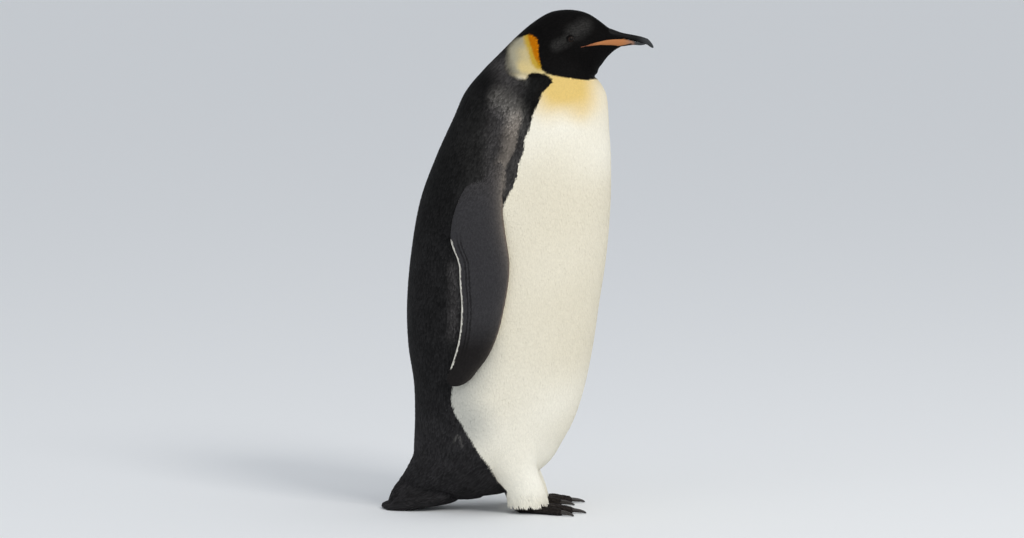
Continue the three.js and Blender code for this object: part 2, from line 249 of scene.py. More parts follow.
# From the shoulder to the tip: leading x, y, z, trailing x, y, z, half thickness.
FLIPPER_RUNGS = [
    ((-4, 80, 776), (-74, 60, 770), 14),
    ((-6, 106, 724), (-86, 87, 714), 15),
    ((-22, 132, 664), (-103, 110, 654), 14),
    ((-27, 146, 612), (-123, 124, 604), 12.5),
    ((-21, 155, 560), (-130, 132, 551), 11),
    ((-14, 160, 510), (-115, 137, 506), 10),
    ((-16, 163, 468), (-112, 141, 464), 9),
    ((-24, 164, 420), (-109, 144, 414), 8),
    ((-36, 163, 370), (-113, 147, 362), 7),
    ((-55, 160, 325), (-123, 147, 321), 6),
    ((-81, 155, 289), (-134, 146, 289), 4.5),
]
FLIPPER_ENDS = [(-37, 60, 800), (-122, 147, 262)]
FLIPPER_FACING = (-0.22, 1, 0.04)  # the way its outer face looks
FLIPPER_SHAPE = (0.36, 1.9)
FLIPPER_DEPTH = 0.6
SIDES = {1: "left", -1: "right"}


def across(place, side):
    """A place on the bird's left, moved to the side of that sign."""
    return np.array([place[0], side * place[1], place[2]], float)


def flipper_limb(side):
    """The flipper on the side of that sign."""
    rungs = [(across(a, side), across(b, side), half, *FLIPPER_SHAPE) for a, b, half in FLIPPER_RUNGS]
    ends = [across(end, side) for end in FLIPPER_ENDS]
    return Limb(rungs, *ends, side=across(FLIPPER_FACING, side), depth=FLIPPER_DEPTH)


flippers = {side: flipper_limb(side) for side in SIDES}

# ======================================
# The legs: short thick thighs and shanks that come out of the belly, in long soft white
# feathers that hide the heel and end in a loose hem over the foot.

# From the thigh to the hem: front x, z, rear x, z, distance from the middle, half width.
LEG_RUNGS = [
    (52, 226, -86, 226, 73, 50),
    (56, 186, -84, 184, 73, 55),
    (48, 140, -76, 130, 71, 53),
    (41, 100, -60, 92, 69, 49),
    (46, 76, -42, 68, 67, 45),
    (56, 50, -28, 46, 65, 42),
    (61, 31, -20, 31, 64, 40),
]
LEG_ENDS = [(-16, 73, 250), (24, 64, 24)]
LEG_DEPTH = 1.8


def leg_limb(side, rows, ends):
    """The leg on the side of that sign, or a part of it."""
    rungs = [((fx, side * y, fz), (rx, side * y, rz), half, *OVAL) for fx, fz, rx, rz, y, half in rows]
    return Limb(rungs, *[across(end, side) for end in ends], depth=LEG_DEPTH)


legs = {side: leg_limb(side, LEG_RUNGS, LEG_ENDS) for side in SIDES}

# ======================================
# The feet: three stout webbed toes forward and a small one at the inside of the heel,
# in black scaly skin. Each toe swells at its pads, and its sole is flat on the floor.

HEEL = (10, 64)
TOES = {
    # turn outwards in degrees, length, half width, height, pads
    "inner": (-16, 80, 11.5, 19, 2),
    "middle": (7, 98, 12.5, 20, 3),
    "outer": (30, 88, 12, 19, 3),
}
HIND_TOE = (-62, 13, 5.5, 11, 1)  # in the same order
HIND_ROOT = (2, 46, 9)
TOE_SHAPE = (0.62, 2.6)
PAD, BETWEEN, TAPER = 1.06, 0.94, 0.26  # a toe's size at a pad and between two, and its loss to the tip
SCALES = 0.6  # millimetres of scales over the flesh
SOLE = 0.3  # millimetres that the soles' flesh keeps over the floor


def turned(places, side, degrees, root):
    """Places built along +X, turned outwards by the degrees and moved to their root."""
    angle = side * np.radians(degrees)
    x, y, z = np.moveaxis(np.asarray(places, float), -1, 0)
    x, y = x * np.cos(angle) - y * np.sin(angle), x * np.sin(angle) + y * np.cos(angle)
    return np.stack([x + root[0], y + side * root[1], z + root[2]], -1)


def pointing(side, degrees, root, along, high, low, half, shape, ends):
    """A limb that points forward and is turned outwards by the degrees: its rungs' places along
    it, heights of the upper and lower rail, half widths and shape, and its ends' x and z."""
    rails = [np.stack([along, 0 * along, rail + 0 * along], -1) for rail in (high, low)]
    rails = [turned(rail, side, degrees, root) for rail in rails]
    rungs = [(a, b, wide, *shape) for a, b, wide in zip(*rails, half)]
    angle = side * np.radians(degrees)
    ends = turned([(x, 0, z) for x, z in ends], side, degrees, root)
    return Limb(rungs, *ends, side=(-np.sin(angle), np.cos(angle), 0))


def toe_limb(side, size, root):
    """A toe whose half width and height swell at each pad and shrink towards the claw. Its lower
    rail runs level, so that the sole is flat."""
    degrees, length, half, height, pads = size
    share = np.linspace(0, 1, 2 * pads + 1)
    swell = np.where(np.arange(2 * pads + 1) % 2, PAD, BETWEEN) * (1 - TAPER * share)
    high, wide = height * swell - SCALES, half * swell - SCALES
    ends = (-8, 7), (length + 6, 5)
    return pointing(side, degrees, root, share * length, high, SOLE, wide, TOE_SHAPE, ends)


WEB_REACH, WEB_SAG = 0.96, 0.16  # shares of a toe's length: out along it, and back between two
WEB_UNDER, WEB_BASE = 0.7, 1.2  # heights of its lower face, and of its upper one before its thickness
WEB_THICK, WEB_RISE, WEB_THINNING = 3.6, 3.0, 0.35  # between toes, more at a toe, and its loss outwards


def web_mesh(side, columns=28, rows=30):
    """The web between the toes, as a closed plate. A row goes from the heel to the edge, which sags
    between two toe tips as a parabola. The plate is thinnest half way between the toes and rises
    towards each as |t|^3, where t goes from -1 to 1 from toe to toe."""
    turns = np.array([degrees for degrees, *_ in TOES.values()], float)
    reach = np.array([WEB_REACH * length for _, length, *_ in TOES.values()], float)
    share = np.linspace(0, 2, 2 * columns + 1)
    between = share - np.floor(np.minimum(share, 1.999))
    sag = 1 - WEB_SAG * 4 * between * (1 - between)
    turn, length = np.interp(share, [0, 1, 2], turns), np.interp(share, [0, 1, 2], reach) * sag
    out = np.linspace(0, 1, rows)[:, None]
    thick = WEB_THICK + WEB_RISE * np.abs(2 * between - 1) ** 3
    high = WEB_BASE + thick[None] * (1 - WEB_THINNING * out)
    x, y = out * length * np.cos(np.radians(turn)), out * length * np.sin(np.radians(turn))
    faces = [np.stack([x, y, z + 0 * x], -1) for z in (high, WEB_UNDER)]
    return plate(*[MM * (face * [1, side, 1] + [HEEL[0], side * HEEL[1], 0]) for face in faces], side)


def plate(top, under, side):
    """A closed plate between two grids of points of one shape: both faces and a wall round them."""
    rows, columns = top.shape[:2]
    points = np.vstack([top.reshape(-1, 3), under.reshape(-1, 3)])
    index = np.arange(rows * columns).reshape(rows, columns)
    upper = cells(index[:-1, :-1], index[1:, :-1], index[1:, 1:], index[:-1, 1:])
    rim = np.concatenate([index[0, :-1], index[:-1, -1], index[-1, :0:-1], index[:0:-1, 0]])
    after, below = np.roll(rim, -1), rows * columns
    wall = cells(rim, after, after + below, rim + below)
    faces = np.vstack([upper, upper[:, ::-1] + below, wall])
    return points, faces if side > 0 else faces[:, ::-1]


# The ankle, from the leg to the sole: front x, rear x, z and half width.
ANKLE_RUNGS = [(40, 2, 40, 16), (40, -4, 24, 16.5), (43, -7, 10, 16.5)]
ANKLE_SHAPE = (0.5, 2)


def ankle_limb(side):
    """The flesh under the hem, which joins the toes to the leg."""
    y = side * HEEL[1]
    rungs = [((front, y, z), (rear, y, z), half, *ANKLE_SHAPE) for front, rear, z, half in ANKLE_RUNGS]
    return Limb(rungs, (21, y, 50), (16, y, 0.4))


# ======================================
# The tail: a short stiff wedge, roofed like a ridge, on whose feather tips the bird
# leans. The flesh is only its core, and the quills over it make its outline.

# From the rump to the tip: upper x, z, lower x, z, half width.
TAIL_RUNGS = [
    (-176, 128, -116, 62, 34),
    (-204, 112, -112, 34, 44),
    (-216, 86, -118, 14, 50),
    (-232, 60, -150, 6, 54),
    (-250, 34, -190, 3, 55),
    (-258, 12, -232, 2, 47),
]
TAIL_ENDS = [(-150, 0, 110), (-268, 0, 3)]
TAIL_SHAPE = (0.78, 1.7)
TAIL_DEPTH = 3.0
tail = Limb(upright(TAIL_RUNGS, TAIL_SHAPE), *TAIL_ENDS, depth=TAIL_DEPTH)

# ======================================
# The eyes: dark brown, small for the head, and set under a low brow. The ball turns a
# little forward. Bare black lids close round it to a slightly long opening.

EYE_RADIUS = 11.5
EYE_PLACE = (106, 33, 942)
LOOK = {side: np.array([0.22, side, 0.05]) / np.linalg.norm([0.22, 1, 0.05]) for side in SIDES}
CORNEA = 40  # degrees from the eye's axis to the cornea's edge
LID_OPENING, LID_OUTER = 35, 88  # degrees from the eye's axis to the lids' inner and outer rims
LID_GAP = 1.05  # millimetres from the ball to the middle of the lids


def eye_axes(side):
    """The centre of the eyeball in metres, and its axes: forward, up and out of the head."""
    out = LOOK[side]
    ahead = np.cross([0, 0, 1], out) * -side
    ahead /= np.linalg.norm(ahead)
    return MM * across(EYE_PLACE, side), ahead, np.cross(out, ahead) * -side, out


def ball_mesh(side, radius, bulge=0.0, rows=40, columns=56):
    """A ball round the eye's axis. Ring `a` lies at that angle from the axis, and inside the cornea
    the radius grows by its bulge times cos^2 of an angle that is 90 degrees at its edge."""
    centre, ahead, up, out = eye_axes(side)
    a = np.linspace(0, np.pi, rows + 1)[:, None]
    b = np.linspace(0, 2 * np.pi, columns, endpoint=False)[None]
    r = MM * (radius + bulge * np.where(a < np.radians(CORNEA), np.cos(90 / CORNEA * a) ** 2, 0))
    ring = np.cos(b)[..., None] * ahead + np.sin(b)[..., None] * up
    points = centre + (r * np.sin(a))[..., None] * ring + (r * np.cos(a))[..., None] * out
    return tube_mesh(points[1:-1], points[0, 0], points[-1, 0])


def lid_mesh(side, rows=28, columns=72):
    """The lids: a ring with a lens-shaped section that wraps the ball. Its inner rim is an ellipse
    that is longer fore and aft, drawn to a small point at the front corner."""
    centre, ahead, up, out = eye_axes(side)
    b = np.linspace(0, 2 * np.pi, columns, endpoint=False)[:, None]
    w = np.linspace(0, 2 * np.pi, rows, endpoint=False)[None]
    corner = 6 * np.clip(np.cos(b), 0, 1) ** 10 + 3 * np.clip(-np.cos(b), 0, 1) ** 8
    inner = LID_OPENING + 1.5 * np.cos(2 * b) + corner - 3.5 * np.clip(np.sin(b), 0, 1) ** 2
    angle = np.radians(0.5 * (LID_OUTER + inner) - 0.5 * (LID_OUTER - inner) * np.cos(w))
    thick = 0.95 - 0.35 * np.cos(w)
    r = MM * (EYE_RADIUS + LID_GAP + thick * np.sin(w))
    ring = np.cos(b)[..., None] * ahead + np.sin(b)[..., None] * up
    points = centre + (r * np.sin(angle))[..., None] * ring + (r * np.cos(angle))[..., None] * out
    index = np.arange(columns * rows).reshape(columns, rows)
    over, on = np.roll(index, -1, 0), np.roll(index, -1, 1)
    both = np.roll(over, -1, 1)
    points = points.reshape(-1, 3)
    return points, facing_out(points, cells(index, over, both, on))


# ======================================
# The markings: the same for the skin and for the feathers that grow from it. A black
# hood, an orange patch behind the ear that pales into cream and runs on under the hood
# into a golden breast, a white belly, and a slate back bordered by a black bar.


def linear(code):
    """The linear red, green and blue of an sRGB hex colour."""
    part = np.array([int(code[i : i + 2], 16) for i in (1, 3, 5)]) / 255
    return np.where(part <= 0.04045, part / 12.92, ((part + 0.055) / 1.055) ** 2.4)


# Black to slate on the head and back, orange to cream on the neck patch, the greys of the arm and
# flipper, the grey and brown of painted highlights on the shoulder and the arm's front, and the
# whites of the front.
HOOD, BAR, MANTLE, BACK, RUMP_DARK = map(linear, ("#090808", "#100f0e", "#2e2d2c", "#121212", "#272627"))
ORANGE, OLIVE, AMBER, CREAM = map(linear, ("#ba6c00", "#b0820c", "#c2a03c", "#d8c48c"))
NAPE_GREY, SHOULDER_HIGHLIGHT, ARM, GOLD = map(linear, ("#a6a08a", "#4a4845", "#363434", "#e8c97c"))
LIT_EDGE_GREY, SLATE = map(linear, ("#726b64", "#383739"))
WHITE, IVORY, SHADED, SPECK = map(linear, ("#faf6e8", "#e4dcc6", "#bcbcb4", "#8f8d88"))
SLOPE = 0.0875  # a line drawn on the side lies this much lower for each millimetre outwards

# Lines on the bird's side, as x, z in millimetres: the hood's rear and lower edge, and the rear
# border of all that is pale, down to the heel.
HOOD_EDGE = [(14, 945), (22, 948), (28, 948), (35, 943.5), (39.5, 937), (41.5, 929), (42, 918), (43, 906)]
HOOD_EDGE += [(45.5, 891), (49.5, 877), (60, 868.5), (76, 864.5), (90, 862.5), (106, 860), (126, 857.5)]
HOOD_EDGE += [(142, 857), (156, 860), (260, 862)]
# How far back the orange and the amber round it reach from the hood: x at each height.
ORANGE_LINE = ([886, 899, 910, 921, 930, 948], [43, 37, 33, 30, 26, 22])
AMBER_LINE = ([876, 888, 899, 921, 930, 948], [40, 30, 26, 20.5, 16, 12])
PATCH_REAR = [(18, 857), (4, 859.5), (-6.5, 870), (-14, 885), (-16, 901.5), (-16.5, 917), (-14, 925)]
PATCH_REAR += [(-6, 935.5), (4, 941)]
BAR_FRONT = [(19, 860), (24, 867.5), (30, 871), (42, 870.5), (56, 868), (64, 863), (70, 857.5)]
BAR_FRONT += [(71, 851), (66, 846.5), (59, 839.5), (52, 831), (47, 821), (43, 809), (37, 797)]
BAR_FRONT += [(32, 785), (29, 777), (27, 765), (23, 751), (17, 741), (13, 711), (5, 691), (0, 661)]
FLANK = [(-8, 641), (-20, 620), (-44, 560), (-60, 480), (-80, 400), (-96, 320), (-116, 268)]
FLANK += [(-125, 250), (-129, 223), (-127, 209), (-120, 189), (-110, 175), (-96, 149), (-86, 132)]
FLANK += [(-70, 108), (-51, 82), (-37, 58), (-18, 38), (-18, -60), (260, -60)]
# The front of the upper arm, x at each height, and how strong the painted highlight along it is
# there.
ARM_EDGE = ([640, 660, 676, 692, 708, 724, 740, 756, 772, 790], [-23, -23, -24, -17, -8, -1, 1, 4, 9, 10])
ARM_EDGE_LIGHT = ([620, 660, 740, 756, 772, 788, 806], [0, 0.85, 0.95, 0.85, 0.6, 0.25, 0])
# The middles of paler strips: the arm, the painted highlight where light grazes the shoulder's
# crest, and a strip behind the flipper.
ARM_LINE = [(-24, 884), (-12, 850), (-32, 770), (-47, 690)]
SHOULDER_HIGHLIGHT_LINE = [(-30, 820), (-10, 802), (0, 776)]
REAR_STRIP_LINE = [(-124, 485), (-122, 430), (-126, 350)]
# Painted sheen, as highlights on the hood over the eye and on the cheek, and two stray white
# feathers on the rump.
BROW_SHEEN = [(134, 967), (124, 958), (113, 953)]
CHEEK_SHEEN = [(78, 925), (98, 935)]
STRAYS = [[(-117, 150), (-124, 138)], [(-112, 146), (-108, 130)]]
# The bands of the neck patch: colour, line, half width of its soft edge, heights where it sets in.
PATCH_BANDS = [(AMBER, AMBER_LINE, 4, 872, 882), (OLIVE, ORANGE_LINE, 3, 878, 888)]
PATCH_BANDS += [(ORANGE, ORANGE_LINE, 3, 886, 900)]


def away(places, line):
    """The distance from each place to a line of straight pieces: the least over the pieces of the
    distance to the nearest point of each."""
    line = np.array(line, float)
    start, step = line[:-1], np.diff(line, axis=0)
    share = ((places[:, None] - start) * step).sum(2) / (step**2).sum(1)
    near = start + np.clip(share, 0, 1)[..., None] * step
    return np.linalg.norm(places[:, None] - near, axis=2).min(1)


def within(places, outline):
    """Whether each place lies in a closed outline: a ray to the right crosses it an odd number
    of times."""
    x, z = places[:, :1], places[:, 1:]
    (x0, z0), (x1, z1) = np.array(outline, float).T, np.roll(outline, -1, axis=0).T
    over = (z0 > z) != (z1 > z)
    level = np.where(z1 == z0, 1, z1 - z0)
    return ((over & (x < x0 + (x1 - x0) * (z - z0) / level)).sum(1) % 2).astype(bool)


def ease(low, high, value):
    """0 below `low`, 1 above `high` and 3 t^2 - 2 t^3 between them. `low` may be the higher."""
    t = np.clip((value - low) / (high - low), 0, 1)
    return t * t * (3 - 2 * t)


def blend(first, second, share):
    """From the first colour to the second, by a share for each point."""
    return first + (second - first) * np.asarray(share)[..., None]


def ripple(points, size):
    """A smooth value from -1 to 1 that wanders over space: the mean of six sines of directions
    spread over a sphere, with wavelengths near `size` millimetres."""
    total = 0
    for i in range(6):
        turn = 2.4 * i
        slant = -0.9 + 0.36 * i
        flat = np.sqrt(1 - slant * slant)
        way = np.array([flat * np.cos(turn), flat * np.sin(turn), slant])
        total = total + np.sin(points @ way * 2 * np.pi / (MM * size * (0.8 + 0.09 * i)) + 1.7 * turn)
    return total / 3.2


def dark_plumage(points, x, z, places):
    """The slate back and its paler strips, with a painted highlight on the shoulder's crest, the bar
    along its front border, a painted highlight along the upper arm's front, and the hood with its
    painted sheen. Each lies over those before it."""
    slate = blend(blend(BACK, RUMP_DARK, 0.35 * ease(700, 450, z)), RUMP_DARK, ease(260, 120, z))
    arm = np.interp(z, [730, 770], [32, 46])
    slate = blend(ARM, slate, ease(4, arm, away(places, ARM_LINE)))
    slate = blend(slate, MANTLE, 0.45 * ease(-150, -60, x) * ease(860, 700, z) * ease(150, 420, z))
    # Painted highlight where light grazes the shoulder's crest.
    slate = blend(slate, SHOULDER_HIGHLIGHT, 0.85 * ease(36, 4, away(places, SHOULDER_HIGHLIGHT_LINE)))
    # A paler strip behind the flipper.
    slate = blend(slate, ARM, 0.6 * ease(20, 2, away(places, REAR_STRIP_LINE)))
    bar = blend(BAR, MANTLE, ease(30, 18, x))
    dark = blend(bar, slate, ease(9, 19, away(places, BAR_FRONT + FLANK[:5])) * ease(960, 930, z))
    dark = blend(dark, ARM, 0.5 * ease(800, 700, z) * ease(500, 640, z) * ease(-78, -40, x))
    behind = np.interp(z, *ARM_EDGE) - x
    reach = np.interp(z, [690, 740], [32, 42])
    # Painted highlight along the front of the upper arm.
    dark = blend(dark, LIT_EDGE_GREY, np.interp(z, *ARM_EDGE_LIGHT) * ease(-4, 5, behind) * ease(reach, 6, behind))
    head = within(places, HOOD_EDGE + [(260, 1100), (-20, 1100), (-20, 962)])
    head |= (z > 862) & (x > 20) | (z > 950)
    dark = blend(dark, HOOD, np.where(head, 1.0, ease(905, 960, z)))
    # Painted sheen: highlights on the hood over the eye and on the cheek.
    sheen = 0.8 * ease(26, 0, away(places, BROW_SHEEN)) + 0.75 * ease(18, 2, away(places, CHEEK_SHEEN))
    dark = blend(dark, MANTLE, sheen)
    dark = dark * (1 + 0.15 * ripple(points, 45))[:, None]
    stray = np.minimum(*[away(places, line) for line in STRAYS])
    return blend(dark, SPECK, 0.12 * ease(4, 1.5, stray))


def pale_plumage(points, x, z, places, rear):
    """The white front, ivory on the belly and shaded along the thigh, with the golden breast and
    the neck patch over it. The patch greys to its rear border, and its bands lie to the front."""
    white = blend(WHITE, IVORY, 0.25 + 0.25 * ripple(points, 160))
    white = blend(white, IVORY, 0.74 * ease(180, 320, z) * ease(740, 620, z))
    white = blend(white, SHADED, 0.9 * ease(90, 12, away(places, FLANK[5:12])))
    golden = ease(752, 828, z + 6 * ripple(points, 60)) * ease(10, 80, x + 0.25 * (z - 780))
    pale = blend(white, GOLD, golden * (1 - 0.8 * ease(125, 178, x)))
    grey = ease(np.interp(z, [880, 900], [17, 32]), 7, rear) * ease(860, 874, z)
    patch = blend(blend(CREAM, NAPE_GREY, grey), NAPE_GREY, 0.35 * ease(880, 905, z))
    wander = x + 0.8 * ripple(points, 9)
    for colour, line, soft, low, high in PATCH_BANDS:
        past = wander - np.interp(z, *line)
        patch = blend(patch, colour, ease(-soft, soft, past) * ease(low, high, z))
    return blend(pale, patch, ease(96, 60, x) * ease(854, 872, z))


def plumage(points):
    """The colour at points of the trunk, neck, head, legs and tail. It goes over from dark to pale
    across the border, which is softest behind the neck patch."""
    x, y, z = np.moveaxis(points / MM, -1, 0)
    places = np.stack([x, z - SLOPE * np.abs(y)], 1)
    z = places[:, 1]
    outline = HOOD_EDGE + FLANK[::-1] + BAR_FRONT[::-1] + PATCH_REAR
    depth = np.where(within(places, outline), 1, -1) * away(places, outline + outline[:1])
    hood, rear = away(places, HOOD_EDGE), away(places, PATCH_REAR)
    faded = ease(26, 12, x) * ease(852, 872, z) * ease(30, 6, rear) * ease(4, 16, hood)
    soft = 1.2 + (6 + 8 * ease(915, 880, z)) * faded
    dark, pale = dark_plumage(points, x, z, places), pale_plumage(points, x, z, places, rear)
    return blend(dark, pale, ease(-soft, soft, depth))


def paint(shape, colours):
    """Gives a mesh object's points their colours."""
    layer = shape.data.color_attributes.new("plumage", "FLOAT_COLOR", "POINT")
    layer.data.foreach_set("color", np.insert(colours, 3, 1, axis=1).astype(np.float32).ravel())
    return shape


# The flipper: slate outside with a brown rim in front and a white line behind, and white inside
# with a dark tip. Outside it also bears a painted highlight along its leading edge and painted
# shade in two fine grooves.
RIM, TIP_DARK, LINING = map(linear, ("#6a5f56", "#1f1d1d", "#e6e2d6"))
LINE_WIDE = 2.4  # millimetres of white along the trailing edge, below the elbow
SHADED_GROOVES = (10.5, 15.5)  # millimetres from the trailing edge to two fine grooves, whose shade is painted as dark lines
# Painted highlight along the leading edge: how far back it reaches, and how strong it is, at
# each rung.
EDGE_REACH = ([1.5, 3], [17, 11])
LEADING_EDGE_LIGHT = ([0.6, 1.6, 4, 5, 6, 9], [0, 1, 1, 0.7, 0.35, 0.2])
CHORDS = [np.linalg.norm(np.subtract(lead, trail)) for lead, trail, _ in FLIPPER_RUNGS]


def flipper_colour(u, v):
    """The colour at rung `u` and angle `v` of a flipper, whose outer face is where sin v > 0. The
    distance to either edge is worked out from the share of the chord, 1/2 - 1/2 cos v."""
    behind = 0.5 - 0.5 * np.cos(v)
    chord = np.interp(u, np.arange(len(CHORDS)), CHORDS)
    to_rear, to_front = (1 - behind) * chord, behind * chord
    outer = blend(SLATE, TIP_DARK, ease(7.2, 8.9, u))
    outer = blend(outer, ARM, ease(3.0, 1.0, u))
    # Painted highlight along the leading edge.
    lit_edge = np.exp(-to_front / np.interp(u, *EDGE_REACH)) * np.interp(u, *LEADING_EDGE_LIGHT)
    outer = blend(outer, LIT_EDGE_GREY, lit_edge)
    # Painted shade in two fine grooves near the trailing edge.
    grooves = np.minimum(*[np.abs(to_rear - groove) for groove in SHADED_GROOVES])
    outer = blend(outer, BAR, 0.6 * ease(1.8, 0.7, grooves) * ease(3.6, 4.4, u) * ease(9.4, 8.2, u))
    outer = blend(outer, RIM, 0.9 * ease(4.5, 0.8, to_front) * ease(0.8, 1.8, u) * ease(9.5, 7.5, u))
    line = LINE_WIDE * ease(3.9, 4.15, u) * ease(10.0, 9.5, u)
    outer = blend(outer, LINING, 0.85 * ease(line + 0.3, line - 0.5, to_rear) * (line > 0.8))
    inner = blend(LINING, TIP_DARK, ease(8.6, 9.8, u + 1.5 * (0.5 - behind)))
    inner = blend(inner, TIP_DARK, 0.9 * ease(5, 2.5, to_front))
    return blend(inner, outer, ease(-0.10, 0.0, np.sin(v)))


# ======================================
# The skin: all the fleshy shapes as one closed surface, with a socket and lids for each
# eye. It carries the feathers, takes their colours, and is bare and black on the feet.

FOOT_BLACK, LID_BLACK = map(linear, ("#1e1b1b", "#0a0909"))
SOCKET_GAP = 0.25  # millimetres round the eyeball
# Millimetres between a part's rings, and points round a ring.
BODY_GRID, TAIL_GRID, FLIPPER_GRID = (body_pitch, 168), (5, 60), (4.5, 64)
LEG_GRID, ANKLE_GRID, TOE_GRID, HIND_GRID = (5, 60), (3, 40), (2, 32), (2, 24)


def boolean(target, tools, operation):
    """Joins the tools to the target's mesh or cuts them out of it, and removes them."""
    for tool in tools:
        step = target.modifiers.new(tool.name, "BOOLEAN")
        step.solver, step.operation, step.object = "MANIFOLD", operation, tool
    graph = bpy.context.evaluated_depsgraph_get()
    made = bpy.data.meshes.new_from_object(target.evaluated_get(graph))
    target.modifiers.clear()
    target.data = made
    for tool in tools:
        bpy.data.objects.remove(tool)


def painted(name, shape, colour):
    """A mesh object whose points all take one colour, or the colours of a function."""
    points = shape[0]
    colours = colour(points) if callable(colour) else np.tile(colour, (len(points), 1))
    return paint(new_object(name, *shape), colours)


def flipper_skin(side):
    """The flesh of a flipper. Its colours are worked out in its own rungs and angles."""
    pitch, columns = FLIPPER_GRID
    u = flippers[side].stations(pitch)[1:-1]
    v = np.linspace(0, 2 * np.pi, columns, endpoint=False)
    rings = flipper_colour(np.repeat(u, columns), np.tile(v, len(u)))
    colours = np.vstack([rings, rings[:1], rings[-1:]])
    return paint(new_object("flipper", *limb_mesh(flippers[side], pitch, columns)), colours)


def heal(shape, rounds=40):
    """Points made where two surfaces cut each other come out pure white. They take the mean of
    the coloured points at the other ends of their edges, round after round."""
    mesh = shape.data
    layer = mesh.color_attributes["plumage"].data
    colours = np.empty(4 * len(mesh.vertices), np.float32)
    layer.foreach_get("color", colours)
    colours = colours.reshape(-1, 4)[:, :3].astype(float)
    ends = np.empty(2 * len(mesh.edges), np.int32)
    mesh.edges.foreach_get("vertices", ends)
    ends = np.vstack([ends.reshape(-1, 2), ends.reshape(-1, 2)[:, ::-1]])
    blank = (colours > 0.999).all(1)
    for _ in range(rounds):
        use = ends[blank[ends[:, 0]] & ~blank[ends[:, 1]]]
        count = np.bincount(use[:, 0], minlength=len(colours))
        sums = [np.bincount(use[:, 0], colours[use[:, 1], i], len(colours)) for i in range(3)]
        found = count > 0
        colours[found] = (np.stack(sums, 1) / np.maximum(count, 1)[:, None])[found]
        blank &= ~found
    layer.foreach_set("color", np.insert(colours, 3, 1, axis=1).astype(np.float32).ravel())


skin = painted("skin", limb_mesh(body, *BODY_GRID), plumage)
flesh = [painted("tail_core", limb_mesh(tail, *TAIL_GRID), plumage)]
for side in SIDES:
    flesh.append(flipper_skin(side))
    flesh.append(painted("leg", limb_mesh(legs[side], *LEG_GRID), plumage))
    flesh.append(painted("ankle", limb_mesh(ankle_limb(side), *ANKLE_GRID), FOOT_BLACK))
    for size in TOES.values():
        toe = toe_limb(side, size, (*HEEL, 0))
        flesh.append(painted("toe", limb_mesh(toe, *TOE_GRID), FOOT_BLACK))
    hind = toe_limb(side, HIND_TOE, HIND_ROOT)
    flesh.append(painted("hind_toe", limb_mesh(hind, *HIND_GRID), FOOT_BLACK))
    flesh.append(painted("web", web_mesh(side), FOOT_BLACK))
boolean(skin, flesh, "UNION")
sockets = [painted("socket", ball_mesh(side, EYE_RADIUS + SOCKET_GAP), HOOD) for side in SIDES]
boolean(skin, sockets, "DIFFERENCE")
boolean(skin, [painted("lids", lid_mesh(side), LID_BLACK) for side in SIDES], "UNION")
heal(skin)
skin.data.name = "skin"
skin.data.polygons.foreach_set("use_smooth", np.ones(len(skin.data.polygons), bool))
skin.data.materials.clear()


def add(tree, kind, settings=None, links=None, **attributes):
    """Adds a shader node. `settings` gives values to its sockets, and `links` feeds its sockets
    from other nodes' outputs."""
    node = tree.nodes.new("ShaderNode" + kind)
    for name, value in attributes.items():
        setattr(node, name, value)
    for socket, value in (settings or {}).items():
        node.inputs[socket].default_value = value
    for socket, output in (links or {}).items():
        tree.links.new(output, node.inputs[socket])
    return node


def start_material(name):
    """A new material and its empty node tree."""
    material = bpy.data.materials.new(name)
    material.use_nodes = True
    material.node_tree.nodes.clear()
    return material, material.node_tree


def painted_material(name, settings, noise, shades, stretch=(1, 1, 1), dryness=None, relief=None):
    """A material of the piece's painted colours. One noise, drawn out by `stretch`, is its grain:
    it multiplies the colour by `shades` and may give the roughness and the relief."""
    material, tree = start_material(name)
    place = add(tree, "TexCoord").outputs["Object"]
    place = add(tree, "Mapping", {"Scale": stretch}, {"Vector": place}).outputs["Vector"]
    grain = add(tree, "TexNoise", noise, {"Vector": place}).outputs[0]
    colour = add(tree, "Attribute", attribute_name="plumage").outputs["Color"]
    shade = add(tree, "MapRange", shades, {"Value": grain}).outputs[0]
    colour = add(tree, "VectorMath", {}, {0: colour, 1: shade}, operation="MULTIPLY").outputs[0]
    links = {"Base Color": colour}
    if dryness:
        links["Roughness"] = add(tree, "MapRange", dryness, {"Value": grain}).outputs[0]
    if relief:
        links["Normal"] = add(tree, "Bump", relief, {"Height": grain}).outputs[0]
    bsdf = add(tree, "BsdfPrincipled", settings, links)
    add(tree, "OutputMaterial", {}, {"Surface": bsdf.outputs[0]})
    return material


# Feather keratin: a dry, close-set web of barbs with a soft sheen. Real barbs are 0.3 mm apart,
# drawn here at 1.6 mm so that they show.
feather_keratin = painted_material(
    "feather_keratin",
    {"IOR": 1.54, "Specular IOR Level": 0.04},
    noise={"Scale": 1 / 0.0016, "Detail": 2.0, "Roughness": 0.6},
    shades={"From Min": 0.25, "From Max": 0.75, "To Min": 0.94, "To Max": 1.06},
    stretch=(1, 1, 0.3),
    dryness={"To Min": 0.5, "To Max": 0.7},
    relief={"Strength": 0.12, "Distance": 0.0004},
)


def settle(piece, material, slot, *nodes):
    """Gives a piece its material, rides it on the bird, and hides the model's parts that it stands for.
    Its slot is not used.
    """
    piece.data.materials.append(material)
    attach(piece, "root")
    if nodes:
        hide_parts(*nodes)


covered = ["head", "neck", "trunk", "tail"]
covered += [f"{part}_{name}" for part in ("flipper", "leg", "foot") for name in SIDES.values()]
settle(skin, feather_keratin, "black_feathers", *covered)

# ======================================
# The coat of the body: small stiff overlapping vanes, set in rows and rooted in the skin,
# that lie back from the bill to the vent. They are shortest on the face.

